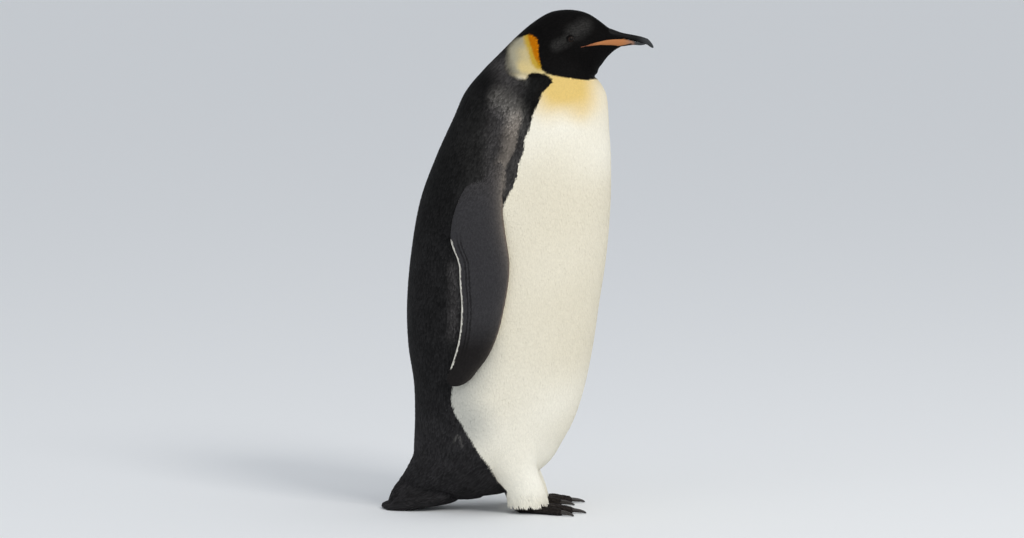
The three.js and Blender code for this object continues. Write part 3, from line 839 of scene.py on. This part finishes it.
# Points of a vane: share of its length, of its half width, and of its height over the skin.
VANE = np.array(
    [
        (0.00, 0.0, -0.25),
        (0.42, -1.0, 0.22),
        (0.42, 0.0, 0.50),
        (0.42, 1.0, 0.22),
        (0.80, -0.85, 0.62),
        (0.80, 0.0, 0.92),
        (0.80, 0.85, 0.62),
        (1.00, 0.0, 0.95),
    ]
)
VANE_FACES = np.array(
    [
        (0, 2, 1), (0, 3, 2), (1, 2, 5), (1, 5, 4), (2, 3, 6), (2, 6, 5),
        (4, 5, 7), (5, 6, 7), (0, 1, 3), (1, 4, 6), (1, 6, 3), (4, 7, 6),
    ]
)  # fmt: skip
RIM_EDGES = [(0, 1), (1, 4), (4, 7), (6, 7), (3, 6), (0, 3)]
SECTION = np.array([0, 0, 0, 0, 1, 1, 1, 2])  # which of the three colours a point of the vane takes
SHOWN = np.array([0.55, 0.85, 1.0])  # shares of the length at which those colours are found
PATCH = 0.003  # size of a feather's patch on the unwrap of the skin
FLOOR_GAP = 0.3  # millimetres that the lowest feathers keep over the floor
JITTER = 0.3  # steps by which a root may leave its place
ROW_GAP = 1e5  # millimetres set between rows, so that one interpolation serves all of them
NEAR_POLE = 0.999  # rungs past the last that a vane may reach: the pole is at 1
LEAST_U, LEAST_V = 1, 4  # the least millimetres to a rung and to a radian, for vanes near a pole

chance = np.random.default_rng(11)


def roots(limb, pitch, spread):
    """Rung numbers and angles of feathers' roots, in rows `pitch` apart. A row's roots are
    `spread` apart by arc length, shifted by half a step in every other row, and moved at random.
    Both may be functions of the rung number."""
    rows = limb.stations(pitch)[1:-1]
    fine = np.linspace(0, 2 * np.pi, 193)
    ring = limb.at(rows[:, None], fine[None])
    arcs = np.linalg.norm(np.diff(ring, axis=1), axis=2) / MM
    arcs = np.hstack([np.zeros((len(rows), 1)), np.cumsum(arcs, axis=1)])
    spread = spread(rows) if callable(spread) else spread
    count = np.maximum(np.round(arcs[:, -1] / spread), 5).astype(int)
    row = np.repeat(np.arange(len(rows)), count)
    number = np.arange(count.sum()) - np.repeat(np.cumsum(count) - count, count)
    shift = 0.5 * (row % 2) + chance.uniform(-JITTER, JITTER, len(row))
    goal = (number + 0.5 + shift) % count[row] / count[row] * arcs[row, -1]
    starts = ROW_GAP * np.arange(len(rows))[:, None]
    v = np.interp(goal + ROW_GAP * row, (arcs + starts).ravel(), np.tile(fine, len(rows)))
    return rows[row] + chance.uniform(-JITTER, JITTER, len(row)) * np.gradient(rows)[row], v


def varied(count, *sizes, stray):
    """The lengths, half widths, lifts and turns of so many vanes. Each of the first three comes as
    a size and the lowest and highest share of it; the turns spread by `stray` radians."""
    drawn = [size * chance.uniform(low, high, count) for size, low, high in sizes]
    return [*drawn, chance.normal(0, stray, count) if stray else np.zeros(count)]


def vanes(name, slot, limb, u, v, length, width, lift, turn, tone, colour=None):
    """One mesh of many vanes. A vane runs from its root (u, v) along the limb, turned sideways by
    `turn` radians, and its points are raised along the root's outward normal by their share of
    `lift`, all in millimetres. It takes the markings along its length, or colour(u, v) where that
    is given, times `tone`."""
    rate_u, rate_v = limb.rates(u, v)
    out = limb.outward(u, v)
    forth, aside, height = VANE.T
    x = forth * length[:, None]
    y = aside * width[:, None]
    along = x * np.cos(turn)[:, None] - y * np.sin(turn)[:, None]
    sideways = x * np.sin(turn)[:, None] + y * np.cos(turn)[:, None]
    rate_u, rate_v = np.maximum(rate_u, LEAST_U)[:, None], np.maximum(rate_v, LEAST_V)[:, None]
    to_u = np.clip(u[:, None] + along / rate_u, -NEAR_POLE, limb.last + NEAR_POLE)
    to_v = v[:, None] + sideways / rate_v
    points = limb.at(to_u, to_v) + MM * (height * lift[:, None])[..., None] * out[:, None]
    points[..., 2] = np.maximum(points[..., 2], MM * FLOOR_GAP)
    count = len(u)
    faces = (VANE_FACES[None] + 8 * np.arange(count)[:, None, None]).reshape(-1, 3)
    if limb.turn < 0:
        faces = faces[:, ::-1]
    piece = new_object(name, points.reshape(-1, 3), faces)

    seen_u = u[:, None] + SHOWN * (length[:, None] / rate_u)
    seen_u = np.clip(seen_u, -NEAR_POLE, limb.last + NEAR_POLE).ravel()
    seen_v = np.repeat(v, len(SHOWN))
    seen = colour(seen_u, seen_v) if colour else plumage(limb.at(seen_u, seen_v))
    paint(piece, (seen.reshape(count, len(SHOWN), 3)[:, SECTION] * tone).reshape(-1, 3))

    ends = np.empty(2 * len(piece.data.edges), np.int32)
    piece.data.edges.foreach_get("vertices", ends)
    low, high = np.sort(ends.reshape(-1, 2) % 8, axis=1).T
    sharp = np.isin(8 * low + high, [8 * a + b for a, b in RIM_EDGES])
    piece.data.attributes.new("sharp_edge", "BOOLEAN", "EDGE").data.foreach_set("value", sharp)

    edge = 0.5 * PATCH
    home = edge + (1 - 2 * edge) * np.stack([v / (2 * np.pi) % 1, (u + 1) / (limb.last + 2)], 1)
    patch = home[:, None] + PATCH * np.stack([0.45 * aside, forth - 0.5], 1)[None]
    unwrap = piece.data.uv_layers.new(name="OFBake")
    unwrap.data.foreach_set("uv", patch.reshape(-1, 2)[faces.ravel()].astype(np.float32).ravel())
    settle(piece, feather_keratin, slot)


def toned(shade, tip=1.0):
    """Brightness of each point of each vane: the vane's own, which changes by `tip` to its end."""
    shade, tip = np.asarray(shade, float), np.asarray(tip, float) * np.ones(len(shade))
    return (shade[:, None] * (1 + (tip[:, None] - 1) * ease(0.4, 1.0, VANE[:, 0])))[..., None]


# At these rungs: millimetres between rows, and between neighbours in a row. Those are closer, so
# that the coat looks fine and streaked.
COAT_RUNGS = [-1, 2, 5, 7, 9, 11, 14, 19, 25]
COAT_PITCH = [2.0, 2.1, 2.5, 2.8, 3.3, 4.2, 5.2, 5.2, 4.6]
COAT_SPREAD = [1.6, 1.7, 2.0, 2.2, 2.5, 2.8, 3.1, 3.1, 2.9]
COAT_LIFT = ([0, 5, 8, 11, 25], [0.5, 0.6, 0.8, 0.95, 1.1])
# The bare edge of the bill's plate as it shows on the side of the face, x and z.
GAPE = [(138, 923.5), (152, 924.3), (163, 925.6), (178, 928), (200, 929.5), (215, 930), (240, 933)]
GAPE += [(240, 940), (232, 939), (208, 943.5), (188, 943.5), (169, 939.8), (152, 933.7)]
EYE_OUT, EYE_BARE = 9.5, 9.0  # the lids' middle out from the eye's, and the radius kept bare round it
# Where painted glints brighten the feather tips: the shoulder's crest and a strip behind the
# flipper.
SHOULDER_GLINT = [(-30, 828), (-10, 810), (0, 784)]
REAR_STRIP_GLINT = [(-124, 497), (-122, 442), (-126, 362)]


def crowding(limb, u, v):
    """How far apart rows lie here, as a share of their mean distance round the limb, and the
    millimetres to a rung."""
    rungs = np.linspace(-1, limb.last + 1, 261)
    turns = np.linspace(0, 2 * np.pi, 24, endpoint=False)[None]
    mean = limb.rates(rungs[:, None], turns)[0].mean(1)
    rate = limb.rates(u, v)[0]
    return np.clip(rate / np.interp(u, rungs, np.maximum(mean, 0.1)), 0.2, 2.2), rate


def coat_pitch(u):
    """Millimetres between rows on the body at rung `u`."""
    return np.interp(u, COAT_RUNGS, COAT_PITCH)


def coat_spread(u):
    """Millimetres between neighbours in a row at rung `u`."""
    return np.interp(u, COAT_RUNGS, COAT_SPREAD)


def further(reach):
    """The rungs that lie `reach` millimetres behind the roots of the body's coat."""
    return np.clip(u + reach / np.maximum(rate, LEAST_U), -1, body.last + 1)


CROWDED = 0.6  # share of the mean spacing below which roots are thinned out
u, v = roots(body, coat_pitch, coat_spread)
root = body.at(u, v) / MM
side_on = root[:, ::2]
count = len(u)
crowd, rate = crowding(body, u, v)
lids = [across(EYE_PLACE, side) + EYE_OUT * LOOK[side] for side in SIDES]
keep = chance.uniform(0, 1, count) < crowd / CROWDED
keep &= np.minimum(*[np.linalg.norm(root - lid, axis=1) for lid in lids]) > EYE_BARE
for share in (0.1, 0.5, 0.9):  # none lies over the bare plate of the bill
    spot = body.at(further(share * 2.6 * coat_pitch(u)), v) / MM
    keep &= ~within(np.stack([spot[:, 0], spot[:, 2] - SLOPE * np.abs(spot[:, 1])], 1), GAPE)
ragged = ease(150, 60, root[:, 2]) * ease(-40, -90, root[:, 0])
at_back = ease(30, -60, root[:, 0])
reach = 3.0 * coat_pitch(u) * np.maximum(crowd, 0.85) * (1 + 0.5 * ragged)
raised = np.interp(u, *COAT_LIFT) + 0.5 * at_back * ease(7, 11, u) + 1.4 * ragged
sizes = (reach, 0.88, 1.15), (0.82 * coat_spread(u), 0.88, 1.12), (raised, 0.85, 1.2)
length, width, lift, turn = varied(count, *sizes, stray=0.05)
turn = turn + 0.12 * ragged * chance.normal(0, 1, count)
dark = ease(0.17, 0.08, plumage(body.at(further(0.7 * length), v)).mean(1))
# Painted glints: feather tips brightened at random on the back, on the shoulder's crest and on the strip
# behind the flipper.
glint = 0.3 * at_back * ease(9.5, 11.5, u) * ease(21, 16, u)
glint += 1.2 * ease(34, 4, away(side_on, SHOULDER_GLINT)) + 0.3 * ease(20, 2, away(side_on, REAR_STRIP_GLINT))
shade = 1 + (0.025 + 0.35 * dark) * chance.uniform(-1, 1, count)
tone = toned(shade, 1 + dark * (0.25 + 1.6 * glint * chance.uniform(0, 1, count)))

# The rungs over which each part of the coat is rooted.
PARTS = {"head": (-1, 4.6), "nape": (4.6, 8.6), "neck": (8.6, 11.4), "breast": (11.4, 13.4)}
PARTS |= {"back": (13.4, 15.2), "belly": (15.2, 17.2), "loin": (17.2, 20), "rump": (20, 25)}
for part, (first, end) in PARTS.items():
    chosen = keep & (u >= first) & (u < end)
    given = [value[chosen] for value in (u, v, length, width, lift, turn, tone)]
    vanes(f"coat_{part}", "black_feathers" if first < 8 else "pale_feathers", body, *given)

# ======================================
# The coat of the flippers: tiny scale-like feathers in straight rows, longer and looser
# over the upper arm.

FLIPPER_PITCH, FLIPPER_SPREAD = 3.4, 2.4

for side, limb in flippers.items():
    u, v = roots(limb, FLIPPER_PITCH, FLIPPER_SPREAD)
    upper = ease(3.2, 1.2, u)
    sizes = (9.5 + 4 * upper, 0.92, 1.08), (1.9 + 0.5 * upper, 0.9, 1.1), (0.5 + 0.5 * upper, 0.8, 1.2)
    given = varied(len(u), *sizes, stray=0.03)
    shade = 1 + (0.12 + 0.2 * upper) * chance.uniform(-1, 1, len(u))
    tone = toned(shade, 1.1 + 0.4 * upper * chance.uniform(0, 1, len(u)))
    name = f"coat_flipper_{SIDES[side]}"
    vanes(name, "black_feathers", limb, u, v, *given, tone, flipper_colour)

# ======================================
# The coat of the legs: longer, softer feathers, rooted in the leg's skin, that hang to a
# loose hem over the foot.

LEG_PITCH, LEG_SPREAD = 4.6, 2.9

for side, limb in legs.items():
    u, v = roots(limb, LEG_PITCH, LEG_SPREAD)
    lower = 1.1 + 1.3 * ease(4.5, 6.4, u)
    sizes = (13 + 3 * ease(4, 6, u), 0.85, 1.15), (2.4, 0.85, 1.15), (lower, 0.8, 1.2)
    given = varied(len(u), *sizes, stray=0.06)
    tone = toned(chance.uniform(0.97, 1.03, len(u)))
    vanes(f"coat_leg_{SIDES[side]}", "pale_feathers", limb, u, v, *given, tone)

# The hem: loose feather tips of uneven length that hang past the skin, over the foot.
HEM_RUNG = (66, 10, -17, 10, 63, 40)
HEM_ENDS = [(24, 64, 50), (24, 64, 8)]
HEM_PITCH, HEM_SPREAD = 2.6, 1.5

for side, name in SIDES.items():
    limb = leg_limb(side, LEG_RUNGS[-2:] + [HEM_RUNG], HEM_ENDS)
    u, v = roots(limb, HEM_PITCH, HEM_SPREAD)
    hanging = (u > 0.0) & (u < 0.95)
    u, v = u[hanging], v[hanging]
    given = varied(len(u), (1, 10, 26), (1.5, 0.7, 1.2), (1, 0.4, 2.8), stray=0.14)
    tone = toned(chance.uniform(0.92, 1.04, len(u)))
    vanes(f"hem_leg_{name}", "pale_feathers", limb, u, v, *given, tone)

# ======================================
# The tail: a fan of stiff narrow quills on which the bird leans, roofed by short black
# coverts. Each quill is a thin curved blade with a raised shaft, rooted deep in the rump.

QUILLS = 18
QUILL_HALF, QUILL_ROOT, QUILL_TIP = 7.5, 1.6, 6.55  # half width, and the tail's rungs at its ends
QUILL_SPREAD = 1.95  # radians from the ridge to the outermost quill
UNDER = -0.4  # where cos v is less, the tail faces the floor


def quill_mesh(number, rows=26, columns=9):
    """One blade, as a closed plate over the tail's core. Along it s goes from 0 to 1 and its half
    width is 7.5 (1 - s^6)^(1/2) millimetres; across it t goes from -1 to 1, and the blade sinks by
    1.6 t^2 beside its shaft, which stands 0.5 mm high."""
    off = 2 * number / (QUILLS - 1) - 1
    v = off * QUILL_SPREAD
    s = np.linspace(0, 1, rows)[:, None]
    t = np.linspace(-1, 1, columns)[None]
    reach = QUILL_TIP - 0.5 * off**2 - 0.12 * (number % 3) - QUILL_ROOT
    at_u = QUILL_ROOT + reach * s + 0 * t
    half = QUILL_HALF * np.sqrt(np.clip(1 - s**6, 0, 1)) + 0.15
    rate = np.maximum(tail.rates(at_u, v + 0 * t)[1], 12)
    out = tail.outward(at_u, v + 0 * t)
    high = 1.2 + 1.3 * (number % 2) + 1.6 * s - 1.6 * t**2 + 0.5 * np.exp(-((t / 0.13) ** 2))
    thick = 0.7 + 0.5 * (1 - s)
    top = tail.at(at_u, v + t * half / rate) + MM * high[..., None] * out
    top[..., 2] = np.maximum(top[..., 2], MM * (FLOOR_GAP + 1.4))
    under = top - MM * (thick * (1 - 0.6 * t**2))[..., None] * out
    under[..., 2] = np.maximum(under[..., 2], MM * FLOOR_GAP)
    return plate(top, under, -1)


def joined(shapes):
    """The points and triangles of several shapes as one."""
    starts = np.cumsum([0] + [len(points) for points, _ in shapes])
    faces = [triangles + start for (_, triangles), start in zip(shapes, starts)]
    return np.vstack([points for points, _ in shapes]), np.vstack(faces)


tail_quills = joined([quill_mesh(number) for number in range(QUILLS)])
quill_tone = np.repeat(chance.uniform(0.7, 1.35, QUILLS), len(tail_quills[0]) // QUILLS)[:, None]
quills = paint(new_object("tail_quills", *tail_quills), RUMP_DARK * quill_tone)
settle(quills, feather_keratin, "black_feathers")

COVERT_PITCH, COVERT_SPREAD = 4.8, 2.8
u, v = roots(tail, COVERT_PITCH, COVERT_SPREAD)
cover = (u < 3.6 + 0.5 * chance.uniform(-1, 1, len(u))) | (np.cos(v) < UNDER)
u, v = u[cover], v[cover]
lift = np.where(np.cos(v) < UNDER, 1.5, 4.6)
given = varied(len(u), (22, 0.8, 1.3), (2.4, 0.85, 1.15), (lift, 0.7, 1.2), stray=0.08)
tone = toned(chance.uniform(0.6, 1.4, len(u)), 1.3)
vanes("coat_tail", "black_feathers", tail, u, v, *given, tone)

# ======================================
# The scales of the feet: hard black plates of keratin on the upper side of the toes,
# set like tiles, each over the root of the next.

SCALE_BLACK = linear("#2a2624")
SCALE_PITCH, SCALE_SPREAD = 2.9, 2.7


def scale_colour(u, v):
    """One black for every scale."""
    return np.tile(SCALE_BLACK, (len(u), 1))


for side, name in SIDES.items():
    for toe, size in TOES.items():
        limb = toe_limb(side, size, (*HEEL, 0))
        u, v = roots(limb, SCALE_PITCH, SCALE_SPREAD)
        top = (np.cos(v) > -0.25) & (u < limb.last + 0.4)
        u, v = u[top], v[top]
        given = varied(len(u), (4.2, 0.9, 1.1), (1.75, 0.9, 1.1), (0.75, 0.9, 1.1), stray=0)
        tone = toned(chance.uniform(0.6, 1.5, len(u)), 1.2)
        vanes(f"scales_{name}_{toe}", "foot_skin", limb, u, v, *given, tone, scale_colour)

# ======================================
# The claws: strong curved horn, black and finely ribbed along its length, that grows out
# of the tip of each toe.

CLAW_LENGTH, CLAW_HALF, CLAW_HEIGHT = 30, 5, 10
CLAW_SHAPE = (0.42, 2)
CLAW_GRID = (0.8, 28)
HIND_LENGTH, HIND_BULK = 0.5, 0.6  # the hind claw's size as a share of the others'


def claw_limb(scale, bulk, reach, degrees, side, root):
    """A claw that arches over and narrows to a point near the floor. At a share s of its length it
    is 1 - 0.55 s^1.5 of its height and 1 - 0.6 s of its width."""
    length, half, height = scale * CLAW_LENGTH, bulk * CLAW_HALF, bulk * CLAW_HEIGHT
    share = np.array([0, 0.2, 0.4, 0.6, 0.8])
    high = height * (1 - 0.55 * share**1.5) * np.where(share > 0.7, 0.9, 1)
    low, wide = height * 0.12 * (1 - share), half * (1 - 0.6 * share)
    ends = (reach - 2, 0.5 * height), (reach + length, 0.7)
    return pointing(side, degrees, root, reach + share * length, high, low, wide, CLAW_SHAPE, ends)


# Keratin horn: worn matt and ribbed lengthwise. Real ribs are 0.2 mm apart, drawn at 1 mm.
claw_horn, tree = start_material("claw_horn")
place = add(tree, "TexCoord").outputs["Object"]
ribs = add(tree, "Mapping", {"Scale": (0.12, 1, 1)}, {"Vector": place}).outputs["Vector"]
ribs = add(tree, "TexNoise", {"Scale": 1 / 0.001, "Detail": 3.0}, {"Vector": ribs}).outputs[0]
colour = add(tree, "ValToRGB", {}, {"Fac": ribs})
colour.color_ramp.elements[0].color = (*linear("#0d0b0a"), 1)
colour.color_ramp.elements[1].color = (*linear("#3a332d"), 1)
dry = add(tree, "MapRange", {"To Min": 0.28, "To Max": 0.5}, {"Value": ribs}).outputs[0]
relief = add(tree, "Bump", {"Strength": 0.3, "Distance": 0.0002}, {"Height": ribs})
links = {"Base Color": colour.outputs[0], "Roughness": dry, "Normal": relief.outputs[0]}
bsdf = add(tree, "BsdfPrincipled", {"IOR": 1.54}, links)
add(tree, "OutputMaterial", {}, {"Surface": bsdf.outputs[0]})

for side, name in SIDES.items():
    toes = {toe: (1.0, 1.0, size[1] + 2, size[0], side, (*HEEL, 1)) for toe, size in TOES.items()}
    root = (*HIND_ROOT[:2], HIND_ROOT[2] + 2)
    toes["hind"] = (HIND_LENGTH, HIND_BULK, HIND_TOE[1] + 1, HIND_TOE[0], side, root)
    for toe, given in toes.items():
        piece = new_object(f"horn_{name}_{toe}", *limb_mesh(claw_limb(*given), *CLAW_GRID))
        settle(piece, claw_horn, "claw_horn", f"claw_{name}_{toe}")

# ======================================
# The bill: long, slender and slightly decurved. The upper half is black horn with a
# nostril slit beside the ridge. The lower one bears a smooth orange-pink plate on each side.

# Along the bill: x, z of the mouth's line, the ridge and the jaw, half widths of the upper and
# the lower half.
BILL_RUNGS = [
    (128, 929.5, 969, 923.5, 18, 42.0),
    (150, 936.5, 969, 925, 17, 33.2),
    (170, 941.5, 968, 926, 15, 22.9),
    (190, 944, 961.5, 926.5, 12, 16.0),
    (210, 943, 954.5, 927, 9, 10.8),
    (230, 938.5, 950.5, 929.6, 7, 7.5),
    (247, 934, 947, 929.2, 5.8, 4.8),
    (261, 930, 942.5, None, 4.2, None),
]
LIPS_GAP = 0.05  # half the gap between the closed halves
RIDGE_SHAPE, JAW_SHAPE = (0.6, 2), (0.4, 2.4)
BILL_GRID = (1.2, 72)
# A nostril: the x and z of its middle, half its length and height, its fall, and its depth.
NOSTRIL_X, NOSTRIL_Z, NOSTRIL_LONG, NOSTRIL_HIGH, NOSTRIL_FALL, NOSTRIL_DEEP = 205, 948.2, 9, 1.0, 0.16, 0.9

ridge = [(x, top, x, z + LIPS_GAP, half) for x, z, top, _, half, _ in BILL_RUNGS]
jaw = [(x, z - LIPS_GAP, x, low, half) for x, z, _, low, _, half in BILL_RUNGS[:-1]]
upper_limb = Limb(upright(ridge, RIDGE_SHAPE), (122, 0, 948), (273, 0, 925.5))
lower_limb = Limb(upright(jaw, JAW_SHAPE), (122, 0, 928), (257, 0, 932))


def bill_mesh(limb):
    """A half of the bill. A nostril is pressed into each side by exp(-a^4 - b^2), where a and b are
    the distances from its middle along it and across it, as shares of its half length and height."""
    points, faces = limb_mesh(limb, *BILL_GRID)
    x, y, z = np.moveaxis(points / MM, -1, 0)
    along, up = x - NOSTRIL_X, z - NOSTRIL_Z + NOSTRIL_FALL * (x - NOSTRIL_X)
    slit = NOSTRIL_DEEP * np.exp(-((along / NOSTRIL_LONG) ** 4) - (up / NOSTRIL_HIGH) ** 2)
    points[:, 1] -= MM * slit * np.sign(y) * (np.abs(y) > 2)
    return points, faces


HORN_BLACK, HORN_GREY = map(linear, ("#0b0a0a", "#3c3f41"))
PLATE, PLATE_DEEP, PLATE_TIP = map(linear, ("#b47649", "#8a5238", "#8c7164"))
# The lower border of the coloured plate, x and z.
PLATE_LOW = ([136, 152, 165, 197, 212, 222, 234], [921, 922.5, 924.5, 927.6, 929.5, 932, 935.5])
upper_bill = bill_mesh(upper_limb)
x, y, z = np.moveaxis(upper_bill[0] / MM, -1, 0)
grey = ease(236, 262, x) * 0.8 + 0.25 * ease(200, 230, x) * ease(3, 0.5, np.abs(y))
upper_colours = blend(HORN_BLACK, HORN_GREY, grey)
lower_bill = bill_mesh(lower_limb)
x, y, z = np.moveaxis(lower_bill[0] / MM, -1, 0)
plate_tone = blend(blend(PLATE, PLATE_DEEP, ease(165, 138, x)), PLATE_TIP, 0.8 * ease(210, 232, x))
keel = ease(2.5, 0.8, np.abs(y)) * ease(934, 930, z)
under = np.maximum(keel, ease(0.6, -0.6, z - np.interp(x, *PLATE_LOW))) * ease(232, 226, x)
lower_colours = blend(blend(plate_tone, HORN_GREY, ease(229, 238, x)), HORN_BLACK, under)

# Bill horn: keratin worn smooth by feeding, with a dull gloss and faint lengthwise grain. Real
# grain is 0.1 mm wide, drawn at 0.8 mm.
bill_keratin = painted_material(
    "bill_keratin",
    {"IOR": 1.54, "Specular IOR Level": 0.12},
    noise={"Scale": 1 / 0.0008, "Detail": 3.0},
    shades={"To Min": 0.82, "To Max": 1.18},
    stretch=(0.08, 1, 1),
    dryness={"To Min": 0.48, "To Max": 0.64},
    relief={"Strength": 0.12, "Distance": 0.0002},
)

upper = paint(new_object("horn_bill_upper", *upper_bill), upper_colours)
settle(upper, bill_keratin, "bill_horn", "bill_upper")
lower = paint(new_object("horn_bill_lower", *lower_bill), lower_colours)
settle(lower, bill_keratin, "bill_plate", "bill_lower")

# ======================================
# The eyeballs: a dark brown iris round a black pupil, under a clear wet cornea. Each sits
# in its socket behind the lids.

PUPIL, IRIS, LIMBUS, SCLERA = map(linear, ("#020202", "#1c1009", "#0a0604", "#100c0b"))

# Angles from the eye's axis, in degrees, at which each colour gives way to the next.
PUPIL_EDGE, IRIS_EDGE, LIMBUS_EDGE = (13.5, 15), (27, 31), (31, 34)
EYE_BULGE = 0.5

# Wet cornea over the iris: a clear coat that gives one sharp highlight. The iris is mottled, 1.2 mm
# to a spot.
wet = {"Coat Weight": 0.15, "Coat Roughness": 0.03, "Coat IOR": 1.376}
wet_eye = painted_material(
    "wet_eye",
    {"Roughness": 0.4, "IOR": 1.376, "Specular IOR Level": 0.15} | wet,
    noise={"Scale": 1 / 0.0012, "Detail": 3.0},
    shades={"To Min": 0.6, "To Max": 1.4},
)

for side, name in SIDES.items():
    shape = ball_mesh(side, EYE_RADIUS, bulge=EYE_BULGE, rows=110, columns=96)
    centre, _, _, out = eye_axes(side)
    offset = (shape[0] - centre) / MM
    angle = np.degrees(np.arccos(np.clip(offset @ out / np.linalg.norm(offset, axis=1), -1, 1)))
    tone = blend(PUPIL, IRIS, ease(*PUPIL_EDGE, angle))
    tone = blend(blend(tone, LIMBUS, ease(*IRIS_EDGE, angle)), SCLERA, ease(*LIMBUS_EDGE, angle))
    piece = paint(new_object(f"eyeball_{name}", *shape), tone)
    settle(piece, wet_eye, "eye", f"eye_{name}")

# ======================================
# The floor, the light and the camera: matt white paper under a bright even sky, with one
# large lamp high to the front and a weak one behind.

FLOOR_REACH = 60.0  # metres, so that from the camera's height it fills the picture


def disc(reach, corners=128):
    """A flat round sheet: one triangle from its middle to each side."""
    angle = np.linspace(0, 2 * np.pi, corners, endpoint=False)
    rim = reach * np.stack([np.cos(angle), np.sin(angle), 0 * angle], 1)
    number = np.arange(corners)
    faces = np.stack([number, (number + 1) % corners, np.full(corners, corners)], 1)
    return np.vstack([rim, [[0, 0, 0]]]), faces


floor = new_object("floor", *disc(FLOOR_REACH))
# Uncoated paper: dull, with no highlight.
paper, tree = start_material("matt_floor_paper")
bsdf = add(tree, "BsdfPrincipled", {"Base Color": (*linear("#eff1f3"), 1), "Roughness": 0.9})
add(tree, "OutputMaterial", {}, {"Surface": bsdf.outputs[0]})
floor.data.materials.append(paper)

world = bpy.data.worlds.new("studio")
bpy.context.scene.world = world
world.use_nodes = True
sky = world.node_tree.nodes["Background"].inputs
sky["Color"].default_value = (0.93, 0.96, 1.0, 1)
sky["Strength"].default_value = 0.68

TARGET = Vector((-0.009, 0, 0.482))  # the middle of the picture


def softbox(name, way, reach, size, power, colour):
    """A square lamp of so many metres and watts that looks at the target from that way."""
    data = bpy.data.lights.new(name, "AREA")
    data.shape, data.size, data.energy, data.color = "SQUARE", size, power, colour
    lamp = bpy.data.objects.new(name, data)
    way = Vector(way).normalized()
    lamp.location = TARGET + reach * way
    lamp.rotation_euler = way.to_track_quat("Z", "Y").to_euler()
    bpy.context.scene.collection.objects.link(lamp)


softbox("key", (0.7, -0.9, 0.95), 8.0, 2.4, 216, (1, 0.97, 0.92))
softbox("fill", (-0.9, -1.0, 0.5), 5.0, 3.0, 12, (0.92, 0.96, 1))

# Colours are shown as they are, without the curve of a film.
bpy.context.scene.view_settings.view_transform = "Standard"

REACH, TILT = 9.0, np.radians(5)  # the camera's distance in metres, and how far it looks down
SENSOR = 36  # millimetres
FRAME_WIDTH = 2.048  # metres seen at the bird
camera = bpy.data.objects.new("camera", bpy.data.cameras.new("camera"))
bpy.context.scene.collection.objects.link(camera)
bpy.context.scene.camera = camera
camera.location = TARGET + Vector((0, -REACH * np.cos(TILT), REACH * np.sin(TILT)))
camera.rotation_euler = (np.pi / 2 - TILT, 0, 0)
camera.data.sensor_width = SENSOR
camera.data.lens = SENSOR * REACH / FRAME_WIDTH
